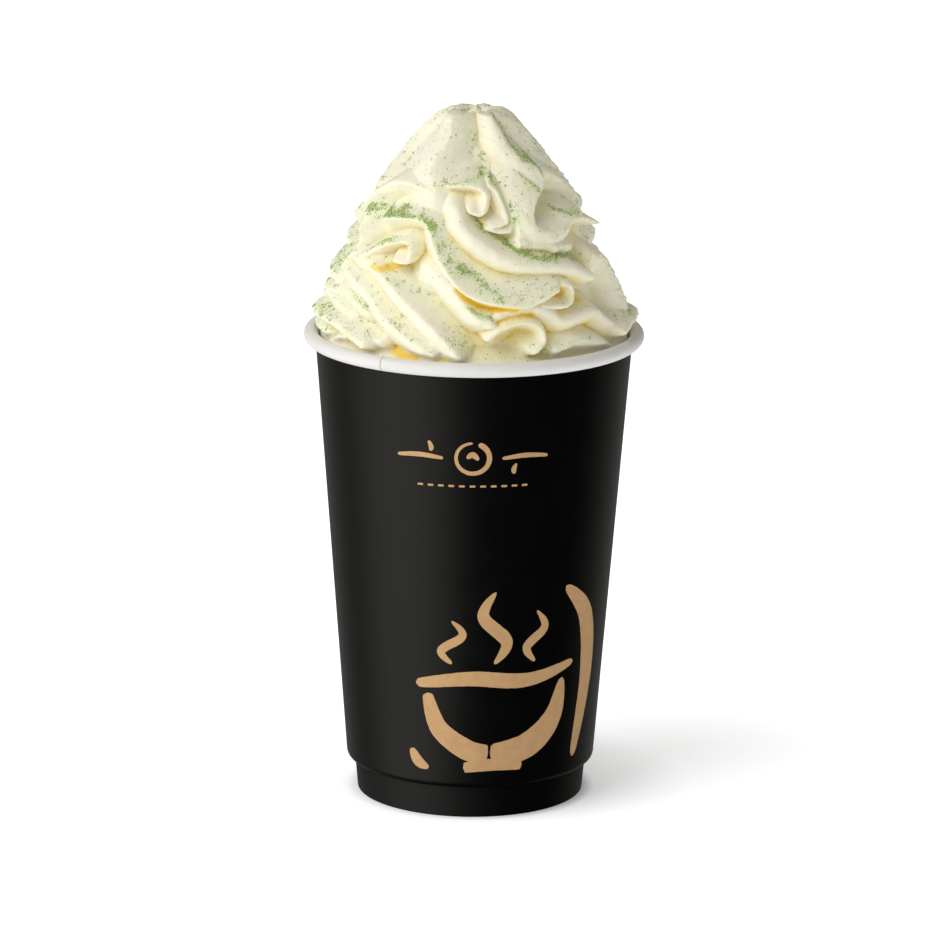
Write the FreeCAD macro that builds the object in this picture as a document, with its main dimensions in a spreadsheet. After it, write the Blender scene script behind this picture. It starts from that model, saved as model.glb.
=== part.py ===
import FreeCAD
import Part
import Sketcher
import math
import os
import random
from collections import namedtuple

# A takeaway cup of tea under a tall piped swirl of cheese foam.
# Frame: millimetres, +Z up, origin on the floor at the centre of the cup's foot, front towards -Y.
# The cup is three pieces of paper: a tapered wall with a rolled rim, a bottom disc whose skirt the
# wall's foot is folded round, and an outer sleeve that stands off the wall for insulation.  The
# foam and the drink that it floats on fill the wall and are one solid.

# Sizes that can be changed, in millimetres, degrees and counts.
SIZES = [
    ("rim_radius", 45.0),  # outside of the rolled rim
    ("curl_radius", 1.9),  # outside of the roll's own section
    ("curl_opening", 60.0),  # degrees left open where the roll's edge tucks in
    ("cup_height", 126.2),
    ("base_radius", 30.1),  # outside of the wall at the floor
    ("paper", 0.45),  # cup wall and bottom disc
    ("floor_height", 9.0),  # top of the bottom disc above the floor
    ("hem_height", 6.5),  # how far the wall's foot is folded up inside
    ("foot_round", 0.2),
    ("sleeve_paper", 0.4),
    ("sleeve_gap", 1.65),  # air between wall and sleeve at the sleeve's lower edge
    ("sleeve_edge", 8.7),  # height of the sleeve's lower edge
    ("sleeve_round", 1.8),  # outer radius of the sleeve's turned-in edge
    ("sleeve_tuck", 0.05),  # clearance under the rolled rim
    ("foam_height", 58.8),  # top of the swirl above the rim
    ("foam_spread", 1.6),  # how far the swirl bulges past the cup's mouth
    ("foam_clearance", 0.22),  # between the wall and the swirl's neck, where it is rooted
    ("foam_root", 6.0),  # how far below the rim the swirl is rooted in the drink
    ("taper_reach", 1.085),  # height at which the swirl would taper to nothing, over its own height
    ("taper_power", 1.3),  # how late the taper starts
    ("taper_round", 0.62),  # how full the swirl's outline is
    ("fold_depth", 7.5),  # from the mound's outline down to the core between the folds
    ("fold_full", 10.0),  # a fold's rise with which its crest reaches the mound's outline
    ("fold_cap", 1.25),  # the most that a crest may rise, over that
    ("fold_start", -1.5),  # height from the rim at which the folds start
    ("fold_growth", 2.6),  # height over which they, and the bulge, grow to full size
    ("fold_droop", 13.0),  # degrees that the folds sag below level
    ("fold_blend", 0.35),  # how softly two folds run into each other
    ("crest_round", 0.45),  # how blunt a fold's crest is
    ("peak_room", 0.42),  # depth of the folds near the tip, for each millimetre of radius
    ("peak_growth", 0.02),  # and for each square millimetre
    ("crown_radius", 9.0),  # inside this the folds turn upwards to the flat crown
    ("crown_tilt", 70.0),  # degrees that they turn at the middle
    ("crown_level", 0.99),  # share of the swirl's height at which the crown starts to flatten
    ("columns", 132.0),  # grid of the swirl's surface, round and up
    ("rows", 52.0),
]
Size = namedtuple("Size", [name for name, value in SIZES])

doc = FreeCAD.newDocument("CheeseFoamTea")
sheet = doc.addObject("Spreadsheet::Sheet", "Sizes")
for row, (name, value) in enumerate(SIZES, start=1):
    sheet.set(f"A{row}", name)
    sheet.set(f"B{row}", str(value))
    sheet.setAlias(f"B{row}", name)
doc.recompute()
size = Size(*(float(sheet.get(name)) for name, value in SIZES))


# ---------------------------------------------------------------- paper cup

CURL_HEIGHT = "(Sizes.cup_height - Sizes.curl_radius)"
MOUTH_RADIUS = "(Sizes.rim_radius - 2 * Sizes.curl_radius)"
FOOT_INSIDE = "(Sizes.base_radius - Sizes.paper)"


def inside_at(height, offset="0"):
    """Expression for the cup's inner radius at a height, moved outwards by an offset."""
    slope = f"({MOUTH_RADIUS} - {FOOT_INSIDE}) / {CURL_HEIGHT}"
    return f"{FOOT_INSIDE} + ({height}) * {slope} + ({offset})"


def new_sketch(body, name):
    """An empty sketch in a body's own XZ plane: radius across, height up."""
    sketch = body.newObject("Sketcher::SketchObject", name)
    planes = [item for item in body.Origin.OriginFeatures if item.Role == "XZ_Plane"]
    sketch.AttachmentSupport = [(planes[0], "")]
    sketch.MapMode = "FlatFace"
    return sketch


def pin_point(sketch, line, end, radius, height):
    """Tie one end of a sketch line to a radius and a height, both expressions."""
    spot = sketch.getPoint(line, end)
    across = sketch.addConstraint(Sketcher.Constraint("DistanceX", -1, 1, line, end, spot.x))
    sketch.setExpression(f"Constraints[{across}]", radius)
    up = sketch.addConstraint(Sketcher.Constraint("DistanceY", -1, 1, line, end, spot.y))
    sketch.setExpression(f"Constraints[{up}]", height)


def turn_sketch(body, sketch, name):
    """Revolve a sketch once round Z."""
    turned = body.newObject("PartDesign::Revolution", name)
    turned.Profile = sketch
    turned.ReferenceAxis = (sketch, ["V_Axis"])
    turned.Angle = 360
    doc.recompute()
    return turned


def turned_body(name, outline):
    """A body turned round Z from a closed outline of (radius, height) expressions."""
    body = doc.addObject("PartDesign::Body", name)
    body.Label = name
    sketch = new_sketch(body, f"{name}_outline")
    count = len(outline)
    spread = [2 * math.pi * step / count for step in range(count)]
    corners = [FreeCAD.Vector(20 + 5 * math.cos(turn), 5 * math.sin(turn), 0) for turn in spread]
    for line in range(count):
        sketch.addGeometry(Part.LineSegment(corners[line], corners[(line + 1) % count]))
    for line in range(count):
        sketch.addConstraint(Sketcher.Constraint("Coincident", line, 2, (line + 1) % count, 1))
    for line, (radius, height) in enumerate(outline):
        pin_point(sketch, line, 1, radius, height)
    turn_sketch(body, sketch, f"{name}_turned")
    return body


def round_edges(body, name, radius, spots):
    """Fillet the circular edges that pass nearest the given (radius, height) spots."""
    base = body.Tip
    picked = []
    for spot_radius, spot_height in spots:
        spot = FreeCAD.Vector(spot_radius, 0, spot_height)
        misses = []
        for number, edge in enumerate(base.Shape.Edges, start=1):
            if isinstance(edge.Curve, Part.Circle):
                reach = FreeCAD.Vector(edge.Curve.Radius, 0, edge.Curve.Center.z)
                misses.append((reach.distanceToPoint(spot), f"Edge{number}"))
        picked.append(min(misses)[1])
    fillet = body.newObject("PartDesign::Fillet", name)
    fillet.Base = (base, picked)
    fillet.setExpression("Radius", radius)
    doc.recompute()


def radius_inside(height):
    """The cup's inner radius at a height, in millimetres."""
    mouth = size.rim_radius - 2 * size.curl_radius
    foot = size.base_radius - size.paper
    return foot + (mouth - foot) * height / (size.cup_height - size.curl_radius)


def make_cup_wall():
    """The tapered wall: foot folded up inside, top rolled outwards into the rim."""
    paper = "Sizes.paper"
    outline = [
        ("Sizes.base_radius", "0"),
        (inside_at(CURL_HEIGHT, paper), CURL_HEIGHT),
        (inside_at(CURL_HEIGHT), CURL_HEIGHT),
        (inside_at(paper), paper),
        (inside_at(paper, "-Sizes.paper"), paper),
        (inside_at("Sizes.hem_height", "-Sizes.paper"), "Sizes.hem_height"),
        (inside_at("Sizes.hem_height", "-2 * Sizes.paper"), "Sizes.hem_height"),
        ("Sizes.base_radius - 3 * Sizes.paper", "0"),
    ]
    body = turned_body("cup_wall", outline)
    foot_edges = [(size.base_radius, 0), (size.base_radius - 3 * size.paper, 0)]
    round_edges(body, "foot_rounding", "Sizes.foot_round", foot_edges)

    # The roll: two arcs about one centre, from the tucked edge over the top to the wall.
    sketch = new_sketch(body, "curl_outline")
    centre = FreeCAD.Vector(size.rim_radius - size.curl_radius, size.cup_height - size.curl_radius, 0)
    axis = FreeCAD.Vector(0, 0, 1)
    tucked = math.radians(size.curl_opening - 180)
    tucked_way = FreeCAD.Vector(math.cos(tucked), math.sin(tucked), 0)
    wall_way = FreeCAD.Vector(-1, 0, 0)
    reaches = (size.curl_radius, size.curl_radius - size.paper)
    for reach in reaches:
        sketch.addGeometry(Part.ArcOfCircle(Part.Circle(centre, axis, reach), tucked, math.pi))
    for way in (tucked_way, wall_way):
        sketch.addGeometry(Part.LineSegment(centre + way * reaches[0], centre + way * reaches[1]))
    sketch.addGeometry(Part.LineSegment(centre, centre + tucked_way * reaches[1]), True)
    outer, inner, tuck_line, wall_line, spoke = range(5)
    for first, first_end, second, second_end in (
        (outer, 1, tuck_line, 1),
        (inner, 1, tuck_line, 2),
        (outer, 2, wall_line, 1),
        (inner, 2, wall_line, 2),
        (outer, 3, spoke, 1),
        (inner, 3, spoke, 1),
        (inner, 1, spoke, 2),
    ):
        sketch.addConstraint(
            Sketcher.Constraint("Coincident", first, first_end, second, second_end)
        )
    sketch.addConstraint(Sketcher.Constraint("Parallel", tuck_line, spoke))
    sketch.addConstraint(Sketcher.Constraint("Horizontal", wall_line))
    pin_point(sketch, spoke, 1, "Sizes.rim_radius - Sizes.curl_radius", CURL_HEIGHT)
    turned_by = sketch.addConstraint(Sketcher.Constraint("Angle", spoke, tucked))
    sketch.setExpression(f"Constraints[{turned_by}]", "Sizes.curl_opening * 1deg - 180deg")
    for arc, reach in ((outer, "Sizes.curl_radius"), (inner, "Sizes.curl_radius - Sizes.paper")):
        held = sketch.addConstraint(Sketcher.Constraint("Radius", arc, reaches[arc]))
        sketch.setExpression(f"Constraints[{held}]", reach)
    sketch.addConstraint(Sketcher.Constraint("PointOnObject", spoke, 1, wall_line))
    turn_sketch(body, sketch, "curl_turned")
    return body


def make_cup_base():
    """The bottom disc, its skirt turned down between the wall and the wall's hem."""
    skirt_top = "Sizes.floor_height - Sizes.paper"
    outline = [
        (inside_at("Sizes.paper"), "Sizes.paper"),
        (inside_at("Sizes.floor_height"), "Sizes.floor_height"),
        ("0", "Sizes.floor_height"),
        ("0", skirt_top),
        (inside_at(skirt_top, "-Sizes.paper"), skirt_top),
        (inside_at("Sizes.paper", "-Sizes.paper"), "Sizes.paper"),
    ]
    return turned_body("cup_base", outline)


def make_sleeve():
    """The outer sleeve: glued under the rim, its lower edge turned in to meet the wall."""
    top = "Sizes.cup_height - 2 * Sizes.curl_radius - Sizes.sleeve_tuck"
    lip = "Sizes.sleeve_edge + Sizes.sleeve_paper"
    outline = [
        (inside_at("Sizes.sleeve_edge", "Sizes.paper"), "Sizes.sleeve_edge"),
        (
            inside_at("Sizes.sleeve_edge", "Sizes.paper + Sizes.sleeve_gap + Sizes.sleeve_paper"),
            "Sizes.sleeve_edge",
        ),
        (inside_at(top, "Sizes.paper + Sizes.sleeve_paper"), top),
        (inside_at(top, "Sizes.paper"), top),
        (inside_at(lip, "Sizes.paper + Sizes.sleeve_gap"), lip),
        (inside_at(lip, "Sizes.paper"), lip),
    ]
    body = turned_body("sleeve", outline)
    wall = radius_inside(size.sleeve_edge) + size.paper
    outer = (wall + size.sleeve_gap + size.sleeve_paper, size.sleeve_edge)
    inner = (wall + size.sleeve_gap, size.sleeve_edge + size.sleeve_paper)
    round_edges(body, "edge_outside", "Sizes.sleeve_round", [outer])
    round_edges(body, "edge_inside", "Sizes.sleeve_round - Sizes.sleeve_paper", [inner])
    return body


# ---------------------------------------------------------------- cheese foam
#
# The swirl is a tapering mound wrapped in piped folds.  A fold follows a path over the mound and
# stands proud of its core; every point of the surface takes the highest fold that covers it.
# Paths are (degrees, level) pairs: degrees round from the front towards +X, level 0 at the cup's
# rim and 100 at the top of the swirl.

Fold = namedtuple("Fold", "path rise above below form fade", defaults=[0.12])
#   rise    how far the crest stands proud of the core; fold_full brings it to the outline
#   above   width of the flank left of the path's direction, at its start and its end, mm
#   below   width of the other flank, likewise
#   form    how full the two flanks are: 1 is straight, less is hollow, more is round
#   fade    share of the path over which the fold rises from the core

FRONT_FOLDS = [
    # the peak: three leaves that run down from the cut top
    Fold(
        ((-35, 99), (-26, 92), (-31, 85), (-31, 77), (-25, 71)),
        9.8, (7, 13), (10, 16), (0.9, 1.45), fade=0,
    ),
    Fold(
        ((21, 100), (27, 91), (29, 87), (46, 78), (47, 73)),
        9.8, (5, 5), (4.5, 11), (0.85, 1.6), fade=0,
    ),
    Fold(((78, 91), (78, 84), (86, 68), (96, 58)), 6.2, (7, 8), (7, 9), (1.2, 1.2), fade=0),
    # the roll at the foot of the hollow between them, and the strands that turn under beside it
    Fold(
        ((-22, 70), (-14, 72), (-1, 72), (6, 69), (5, 63), (2, 61), (-2, 62)),
        9.7, (2.2, 2.2), (6, 6), (1.6, 0.7),
    ),
    Fold(((5, 73), (12, 70), (16, 63), (17, 57), (9, 55)), 8, (1.8, 1.8), (5.5, 5), (1.4, 0.9)),
    Fold(((4, 55), (11, 53), (18, 53), (21, 57)), 7.1, (3.5, 3.5), (2, 2), (1.2, 1.6)),
    Fold(((20, 53), (31, 51), (41, 45)), 8, (4, 5), (5, 4), (1.5, 1.8)),
    # the left shoulder's scallop
    Fold(
        ((-118, 46), (-98, 50), (-82, 57), (-62, 69), (-42, 71), (-26, 69)),
        9.8, (3, 3), (8, 9), (1.4, 0.8),
    ),
    # the upper band, which sweeps from the peak down to the right
    Fold(
        ((-24, 69), (-11, 64), (-6, 56), (3, 49), (14, 43), (29, 40), (44, 37), (56, 32)),
        9.8, (2.4, 2.2), (8, 5), (1.8, 1.7),
    ),
    # the dusted band under it, with a blunt end on the right
    Fold(
        ((-64, 52), (-51, 56), (-34, 58), (-24, 56), (-19, 47), (-10, 35), (-2, 28), (10, 24),
         (21, 23), (35, 28)),
        10.2, (4, 9), (9, 3.5), (1.1, 0.75),
    ),
    Fold(
        ((36, 31), (43, 28), (41, 22), (35, 21), (28, 22)),
        8.8, (2.2, 2.2), (4.5, 4.5), (1.6, 0.8),
    ),
    # the small hooked scallop on the left, and the powdered ridge that it leaves
    Fold(((-71, 62), (-71, 51), (-64, 43), (-72, 31)), 9.4, (4.5, 4.5), (6, 6), (1.2, 1.3)),
    Fold(
        ((-63, 35), (-51, 42), (-43, 46), (-35, 48), (-30, 45), (-31, 40), (-37, 40)),
        9.8, (2, 2), (6, 5), (1.5, 0.7),
    ),
    # long folds that fall from the left to the rim at the front
    Fold(
        ((-58, 39), (-46, 36), (-31, 26), (-19, 17), (-9, 7), (-5, 1)),
        9.9, (3.4, 3.4), (7, 8), (0.9, 1.5),
    ),
    Fold(((-75, 32), (-50, 25), (-33, 13), (-15, 2)), 9.1, (3.5, 4), (8, 7), (1.1, 1.4)),
    Fold(
        ((-35, 38), (-21, 37), (-12, 34), (-4, 25), (1, 19), (6, 17)),
        9.8, (3, 3.5), (10, 6), (0.9, 1.5), fade=0.5,
    ),
    # the wavy fold on the right
    Fold(
        ((1, 12), (6, 17), (12, 21), (23, 22), (31, 19), (36, 15), (44, 16), (54, 16), (63, 9),
         (83, -2)),
        8.5, (3, 3.5), (6, 6), (0.9, 1.5),
    ),
    # the hook and the ledge between it and the rim
    Fold(
        ((2, 6), (9, 13), (18, 16), (25, 13), (26, 7), (22, 3)),
        9.4, (2.2, 2.2), (5, 5), (1.6, 0.7),
    ),
    Fold(((26, 2), (32, 4), (40, 6), (50, 4), (61, -1)), 8.8, (2.2, 2.2), (5, 5), (1.3, 1.6)),
    # the right shoulder: a hollow with a ledge in it, and torn lobes outside it
    Fold(
        ((48, 73), (34, 64), (31, 56), (37, 52), (48, 53), (57, 57), (69, 57)),
        9.8, (5, 5), (13, 4), (0.7, 1.7),
    ),
    Fold(((50, 76), (62, 73), (75, 68), (84, 61)), 7.4, (5, 5), (7, 7), (1.2, 0.8)),
    Fold(((56, 56), (69, 54), (86, 49)), 9.8, (3, 3), (4.5, 2.5), (1.2, 1.3)),
    Fold(((18, 48), (36, 46), (51, 44)), 7.7, (4, 4), (4, 4), (1.3, 1.3)),
    Fold(((58, 39), (71, 37), (78, 26), (80, 14)), 9.7, (4, 4), (8, 8), (1.3, 1.5)),
    # a lobe that leans over the rim on the right, and broad low folds on the left
    Fold(((60, 4), (76, 8), (94, 8), (112, 4)), 12, (3, 3), (4, 4), (1.2, 1.5)),
    Fold(((-112, 12), (-87, 16), (-66, 22), (-46, 17)), 8.8, (5, 5), (6, 6), (1.2, 1.4)),
    Fold(((-112, 6), (-92, 9), (-72, 10), (-56, 9), (-42, 4)), 11.5, (4, 4), (5, 5), (1.2, 1.4)),
    Fold(((-68, -2), (-49, 6), (-37, 4)), 8, (3, 3), (4, 4), (1.2, 1.5)),
]

LEAF_DEGREES = (132, 172, 212, 250)  # the leaves of the peak that face away from the front
STRAND_LEVELS = (58, 45.5, 33, 20.5, 8)  # where strands of the piped spiral cross the back
STRAND_DEGREES = (104, 184)  # and where round the swirl they start
FLANK_STEPS = 400  # fineness of the line that the swirl's rings are spaced along
CROWN_STEPS = 40
PINHOLE = 0.6  # radius of the innermost ring


def back_folds():
    """The folds that face away from the front: more leaves, and the strands of the spiral."""
    uneven = random.Random(4)
    folds = []
    for turn in LEAF_DEGREES:
        sway = uneven.uniform(-5, 5)
        foot = uneven.uniform(60, 67)
        path = [(turn + sway, 96), (turn, 84), (turn + 4, 74), (turn + 16, foot)]
        rise = uneven.uniform(7.4, 8.4)
        folds.append(Fold(path, rise, (5, 6), (8, 10), (0.9, 1.5), 0))
    for strand, level in enumerate(STRAND_LEVELS):
        for start in STRAND_DEGREES:
            first = start + uneven.uniform(-8, 8)
            sweep = uneven.uniform(95, 118)
            drop = uneven.uniform(14, 22)
            path = []
            for step in range(5):
                share = step / 4
                wave = 2.5 * math.sin(math.pi * (3 * share + strand))
                path.append((first + sweep * share, level - drop * share**0.7 + wave))
            rise = uneven.uniform(8.6, 10.0)
            folds.append(Fold(path, rise, (4, 4), (8, 8), (1.1, 1.5)))
    return folds


def ease(share):
    """0 to 1 with a soft start and stop."""
    share = min(max(share, 0.0), 1.0)
    return share * share * (3 - 2 * share)


def mound_radius(height):
    """Radius of the folds' crests at a height above the rim."""
    mouth = size.rim_radius - 2 * size.curl_radius
    neck = radius_inside(size.cup_height - size.foam_root) - size.foam_clearance
    share = max(height, 0) / (size.taper_reach * size.foam_height)
    taper = (mouth + size.foam_spread) * (1 - share**size.taper_power) ** size.taper_round
    return neck + (taper - neck) * ease((height + 1) / size.fold_growth)


def mound_outline(count):
    """Evenly spaced (radius, height) points from the root up to the middle of the flat top."""
    brow = size.crown_level * size.foam_height
    line = []
    for step in range(FLANK_STEPS + 1):
        height = -size.foam_root + (brow + size.foam_root) * step / FLANK_STEPS
        line.append((mound_radius(height), height))
    brow_radius = line[-1][0]
    for step in range(1, CROWN_STEPS + 1):
        turn = math.pi / 2 * step / CROWN_STEPS
        radius = max(brow_radius * math.cos(turn), PINHOLE)
        line.append((radius, brow + (size.foam_height - brow) * math.sin(turn)))
    lengths = [0.0]
    for (r0, z0), (r1, z1) in zip(line, line[1:]):
        lengths.append(lengths[-1] + math.hypot(r1 - r0, z1 - z0))
    outline = []
    spot = 0
    for step in range(count):
        goal = lengths[-1] * step / (count - 1)
        while spot < len(lengths) - 2 and lengths[spot + 1] < goal:
            spot += 1
        share = (goal - lengths[spot]) / (lengths[spot + 1] - lengths[spot])
        r0, z0 = line[spot]
        r1, z1 = line[spot + 1]
        outline.append((r0 + (r1 - r0) * share, z0 + (z1 - z0) * share))
    return outline


def on_mound(degrees, height):
    """The point of the mound's outer surface at an angle and a height above the rim."""
    turn = math.radians(degrees)
    radius = mound_radius(height)
    return FreeCAD.Vector(radius * math.sin(turn), -radius * math.cos(turn), height)


def smooth_path(points, steps=5):
    """A Catmull-Rom curve through (degrees, level) points, as points of the mound."""
    curve = []
    last = len(points) - 1
    for span in range(last):
        p0, p1 = points[max(span - 1, 0)], points[span]
        p2, p3 = points[span + 1], points[min(span + 2, last)]
        for step in range(steps):
            t = step / steps
            curve.append([
                b + 0.5 * t * (c - a + t * (2 * a - 5 * b + 4 * c - d + t * (3 * (b - c) + d - a)))
                for a, b, c, d in zip(p0, p1, p2, p3)
            ])
    curve.append(points[last])
    return [on_mound(degrees, level * size.foam_height / 100) for degrees, level in curve]


def between(pair, share):
    """A value between the two of a pair."""
    return pair[0] + (pair[1] - pair[0]) * share


def raise_fold(fold, grid, heights):
    """Lift the height of every grid point that a fold covers."""
    line = smooth_path(fold.path)
    reach = max(fold.above + fold.below)
    low = [min(point[axis] for point in line) - reach for axis in range(3)]
    high = [max(point[axis] for point in line) + reach for axis in range(3)]
    spans = []
    run = 0.0
    for start, end in zip(line, line[1:]):
        along = end - start
        out = FreeCAD.Vector(start.x, start.y, 0.5 * math.hypot(start.x, start.y))
        side = along.cross(out)
        side.normalize()
        spans.append((start, along, along.Length, side, run))
        run += along.Length
    for row, points in enumerate(grid):
        if not low[2] <= points[0].z <= high[2]:
            continue
        for column, point in enumerate(points):
            if not (low[0] <= point.x <= high[0] and low[1] <= point.y <= high[1]):
                continue
            best = None
            for start, along, length, side, before in spans:
                gap = point - start
                share = min(max(gap.dot(along) / length**2, 0.0), 1.0)
                gap = gap - along * share
                if best is None or gap.Length < best[0]:
                    best = (gap.Length, gap.dot(side), before + share * length)
            distance, across, travelled = best
            travelled /= run
            lower = 0.5 + 0.5 * min(max(across / (0.4 * distance + 0.01), -1.0), 1.0)
            width = between((between(fold.above, travelled), between(fold.below, travelled)), lower)
            ratio = (math.hypot(distance, size.crest_round) - size.crest_round) / width
            if ratio >= 1:
                continue
            form = between(fold.form, lower)
            flank = 1 - ratio**form if form > 1 else (1 - ratio) ** (1 / form)
            grown = ease(travelled / fold.fade) ** 0.7 if fold.fade else 1.0
            lift = fold.rise * flank * grown
            old = heights[row][column]
            mix = min(max(0.5 + 0.5 * (lift - old) / size.fold_blend, 0.0), 1.0)
            heights[row][column] = old + (lift - old) * mix + size.fold_blend * mix * (1 - mix)


def fold_depth_at(radius, height):
    """Depth of the folds where the mound has this radius, at a height above the rim."""
    room = size.peak_room * radius + size.peak_growth * radius**2
    return min(size.fold_depth, room) * ease((height - size.fold_start) / size.fold_growth)


def fold_lean(radius):
    """Angle below level, in radians, at which the folds stand out from the mound."""
    sag = size.fold_droop * ease(radius / size.crown_radius - 1)
    return math.radians(sag - size.crown_tilt * ease(1 - radius / size.crown_radius))


def foam_points():
    """Rows of points on the folded surface of the swirl, from its root to its top."""
    rows = int(size.rows)
    columns = int(size.columns)
    outline = mound_outline(rows)
    grid = []
    for radius, height in outline:
        turns = [2 * math.pi * column / columns for column in range(columns)]
        grid.append([
            FreeCAD.Vector(radius * math.sin(turn), -radius * math.cos(turn), height)
            for turn in turns
        ])
    heights = [[0.0] * columns for row in range(rows)]
    for fold in FRONT_FOLDS + back_folds():
        raise_fold(fold, grid, heights)
    surface = []
    for (radius, height), points, lifts in zip(outline, grid, heights):
        depth = fold_depth_at(radius, height)
        inward = math.cos(fold_lean(radius)) / radius
        upward = math.sin(fold_lean(radius))
        ring = []
        for point, lift in zip(points, lifts):
            sunk = depth * (1 - min(lift / size.fold_full, size.fold_cap))
            scale = 1 - sunk * inward
            ring.append(FreeCAD.Vector(
                point.x * scale, point.y * scale, size.cup_height + point.z + sunk * upward
            ))
        surface.append(ring)
    return surface


def foam_solid():
    """The swirl's folded surface closed into a solid and fused to the drink that fills the cup."""
    poles = foam_points()
    for edge in (0, -1):
        level = sum(point.z for point in poles[edge]) / len(poles[edge])
        poles[edge] = [FreeCAD.Vector(point.x, point.y, level) for point in poles[edge]]
    rows, columns = len(poles), len(poles[0])
    skin = Part.BSplineSurface()
    row_knots = list(range(rows - 2))
    row_ends = [4] + [1] * (rows - 4) + [4]
    skin.buildFromPolesMultsKnots(
        poles, row_ends, [1] * (columns + 1), row_knots, list(range(columns + 1)),
        False, True, 3, 3,
    )
    side = skin.toShape()
    first_row, last_row = skin.bounds()[:2]
    ends = (skin.uIso(first_row).toShape(), skin.uIso(last_row).toShape())
    caps = [Part.Face(Part.Wire([end])) for end in ends]
    shell = Part.makeShell([side] + caps)
    swirl = Part.makeSolid(shell)
    if swirl.Volume < 0:
        swirl.reverse()
    top = size.cup_height - size.curl_radius
    floor = size.floor_height
    drink = Part.makeCone(
        radius_inside(floor), radius_inside(top), top - floor, FreeCAD.Vector(0, 0, floor)
    )
    return drink.fuse(swirl)


def make_foam():
    """Drink and foam as one feature, its shape worked out above from the sheet's sizes."""
    foam = doc.addObject("Part::Feature", "cheese_foam")
    foam.Label = "cheese_foam"
    foam.Shape = foam_solid()
    foam.Placement = FreeCAD.Placement()
    return foam


def main():
    """Build, check and write every piece."""
    pieces = [make_cup_wall(), make_cup_base(), make_sleeve(), make_foam()]
    doc.recompute()
    for item in doc.Objects:
        if "Invalid" in item.State or "Error" in item.State:
            raise RuntimeError(f"{item.Name} failed: {item.State}")
    for piece in pieces:
        shape = piece.Shape
        if shape.isNull() or not shape.isValid() or len(shape.Solids) != 1:
            raise RuntimeError(f"{piece.Label} is not one valid solid")
    os.makedirs("parts", exist_ok=True)
    for piece in pieces:
        piece.Shape.exportStep(f"parts/{piece.Label}.step")
        box = piece.Shape.BoundBox
        print(f"{piece.Label}: {piece.Shape.Volume / 1000:.1f} cm3, z {box.ZMin:.2f} to {box.ZMax:.2f}")


main()
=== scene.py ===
"""A paper cup of tea under a piped swirl of cheese foam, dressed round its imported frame.

The frame gives the cup's and the foam's places and sizes.  This script adds what the eye reads:
the folds of the swirl at full fineness, the green tea powder on them, the papers of the cup with
their seams, the printed ornament, and a plain studio.  Lengths are in millimetres until a mesh
is made, where one factor turns them to metres.
"""

import logging
import math
import random
from dataclasses import dataclass
from enum import Enum

import bmesh
import bpy
import numpy as np
from mathutils import Matrix, Vector, noise
from mathutils.bvhtree import BVHTree

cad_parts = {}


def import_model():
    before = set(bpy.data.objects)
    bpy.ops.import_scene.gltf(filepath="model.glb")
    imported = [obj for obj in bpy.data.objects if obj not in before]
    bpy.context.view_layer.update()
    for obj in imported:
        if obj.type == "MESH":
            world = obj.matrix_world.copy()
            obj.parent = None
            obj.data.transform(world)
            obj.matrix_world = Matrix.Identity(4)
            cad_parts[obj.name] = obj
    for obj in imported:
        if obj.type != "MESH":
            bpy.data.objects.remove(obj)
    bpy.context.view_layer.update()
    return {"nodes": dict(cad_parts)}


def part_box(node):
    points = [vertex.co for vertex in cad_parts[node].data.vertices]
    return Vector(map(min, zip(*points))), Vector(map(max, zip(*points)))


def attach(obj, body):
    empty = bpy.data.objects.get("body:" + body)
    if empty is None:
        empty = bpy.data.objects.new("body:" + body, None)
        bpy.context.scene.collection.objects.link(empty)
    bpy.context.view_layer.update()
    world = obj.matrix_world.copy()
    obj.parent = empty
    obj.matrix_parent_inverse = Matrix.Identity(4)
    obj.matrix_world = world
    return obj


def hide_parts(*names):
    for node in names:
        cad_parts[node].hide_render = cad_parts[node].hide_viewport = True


LOG = logging.getLogger("cheese_foam_tea")
MM = 0.001


# ---------------------------------------------------------------- helpers


def linear(colour: str) -> tuple[float, float, float, float]:
    """Turn an sRGB hex colour to the linear values that shaders take.

    Args:
        colour: six hex digits after a hash sign.

    Returns:
        Red, green, blue and an alpha of one.
    """
    parts = [int(colour[start:start + 2], 16) / 255 for start in (1, 3, 5)]
    values = [c / 12.92 if c <= 0.04045 else ((c + 0.055) / 1.055) ** 2.4 for c in parts]
    return (values[0], values[1], values[2], 1.0)


def add_node(
    tree: bpy.types.NodeTree,
    kind: str,
    settings: dict | None = None,
    values: dict | None = None,
    links: dict | None = None,
) -> bpy.types.Node:
    """Add one shader node.

    Args:
        tree: the material's or world's node tree.
        kind: the node's type name.
        settings: properties of the node itself.
        values: default values by input name or number.
        links: (node, output) pairs by input name or number.

    Returns:
        The new node.
    """
    node = tree.nodes.new(kind)
    for name, value in (settings or {}).items():
        setattr(node, name, value)
    for name, value in (values or {}).items():
        node.inputs[name].default_value = value
    for name, (source, output) in (links or {}).items():
        tree.links.new(source.outputs[output], node.inputs[name])
    return node


def new_material(name: str) -> tuple[bpy.types.Material, bpy.types.NodeTree]:
    """Make a material with an empty node tree.

    Args:
        name: the material's name.

    Returns:
        The material and its node tree.
    """
    material = bpy.data.materials.new(name)
    material.use_nodes = True
    material.node_tree.nodes.clear()
    return material, material.node_tree


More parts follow.
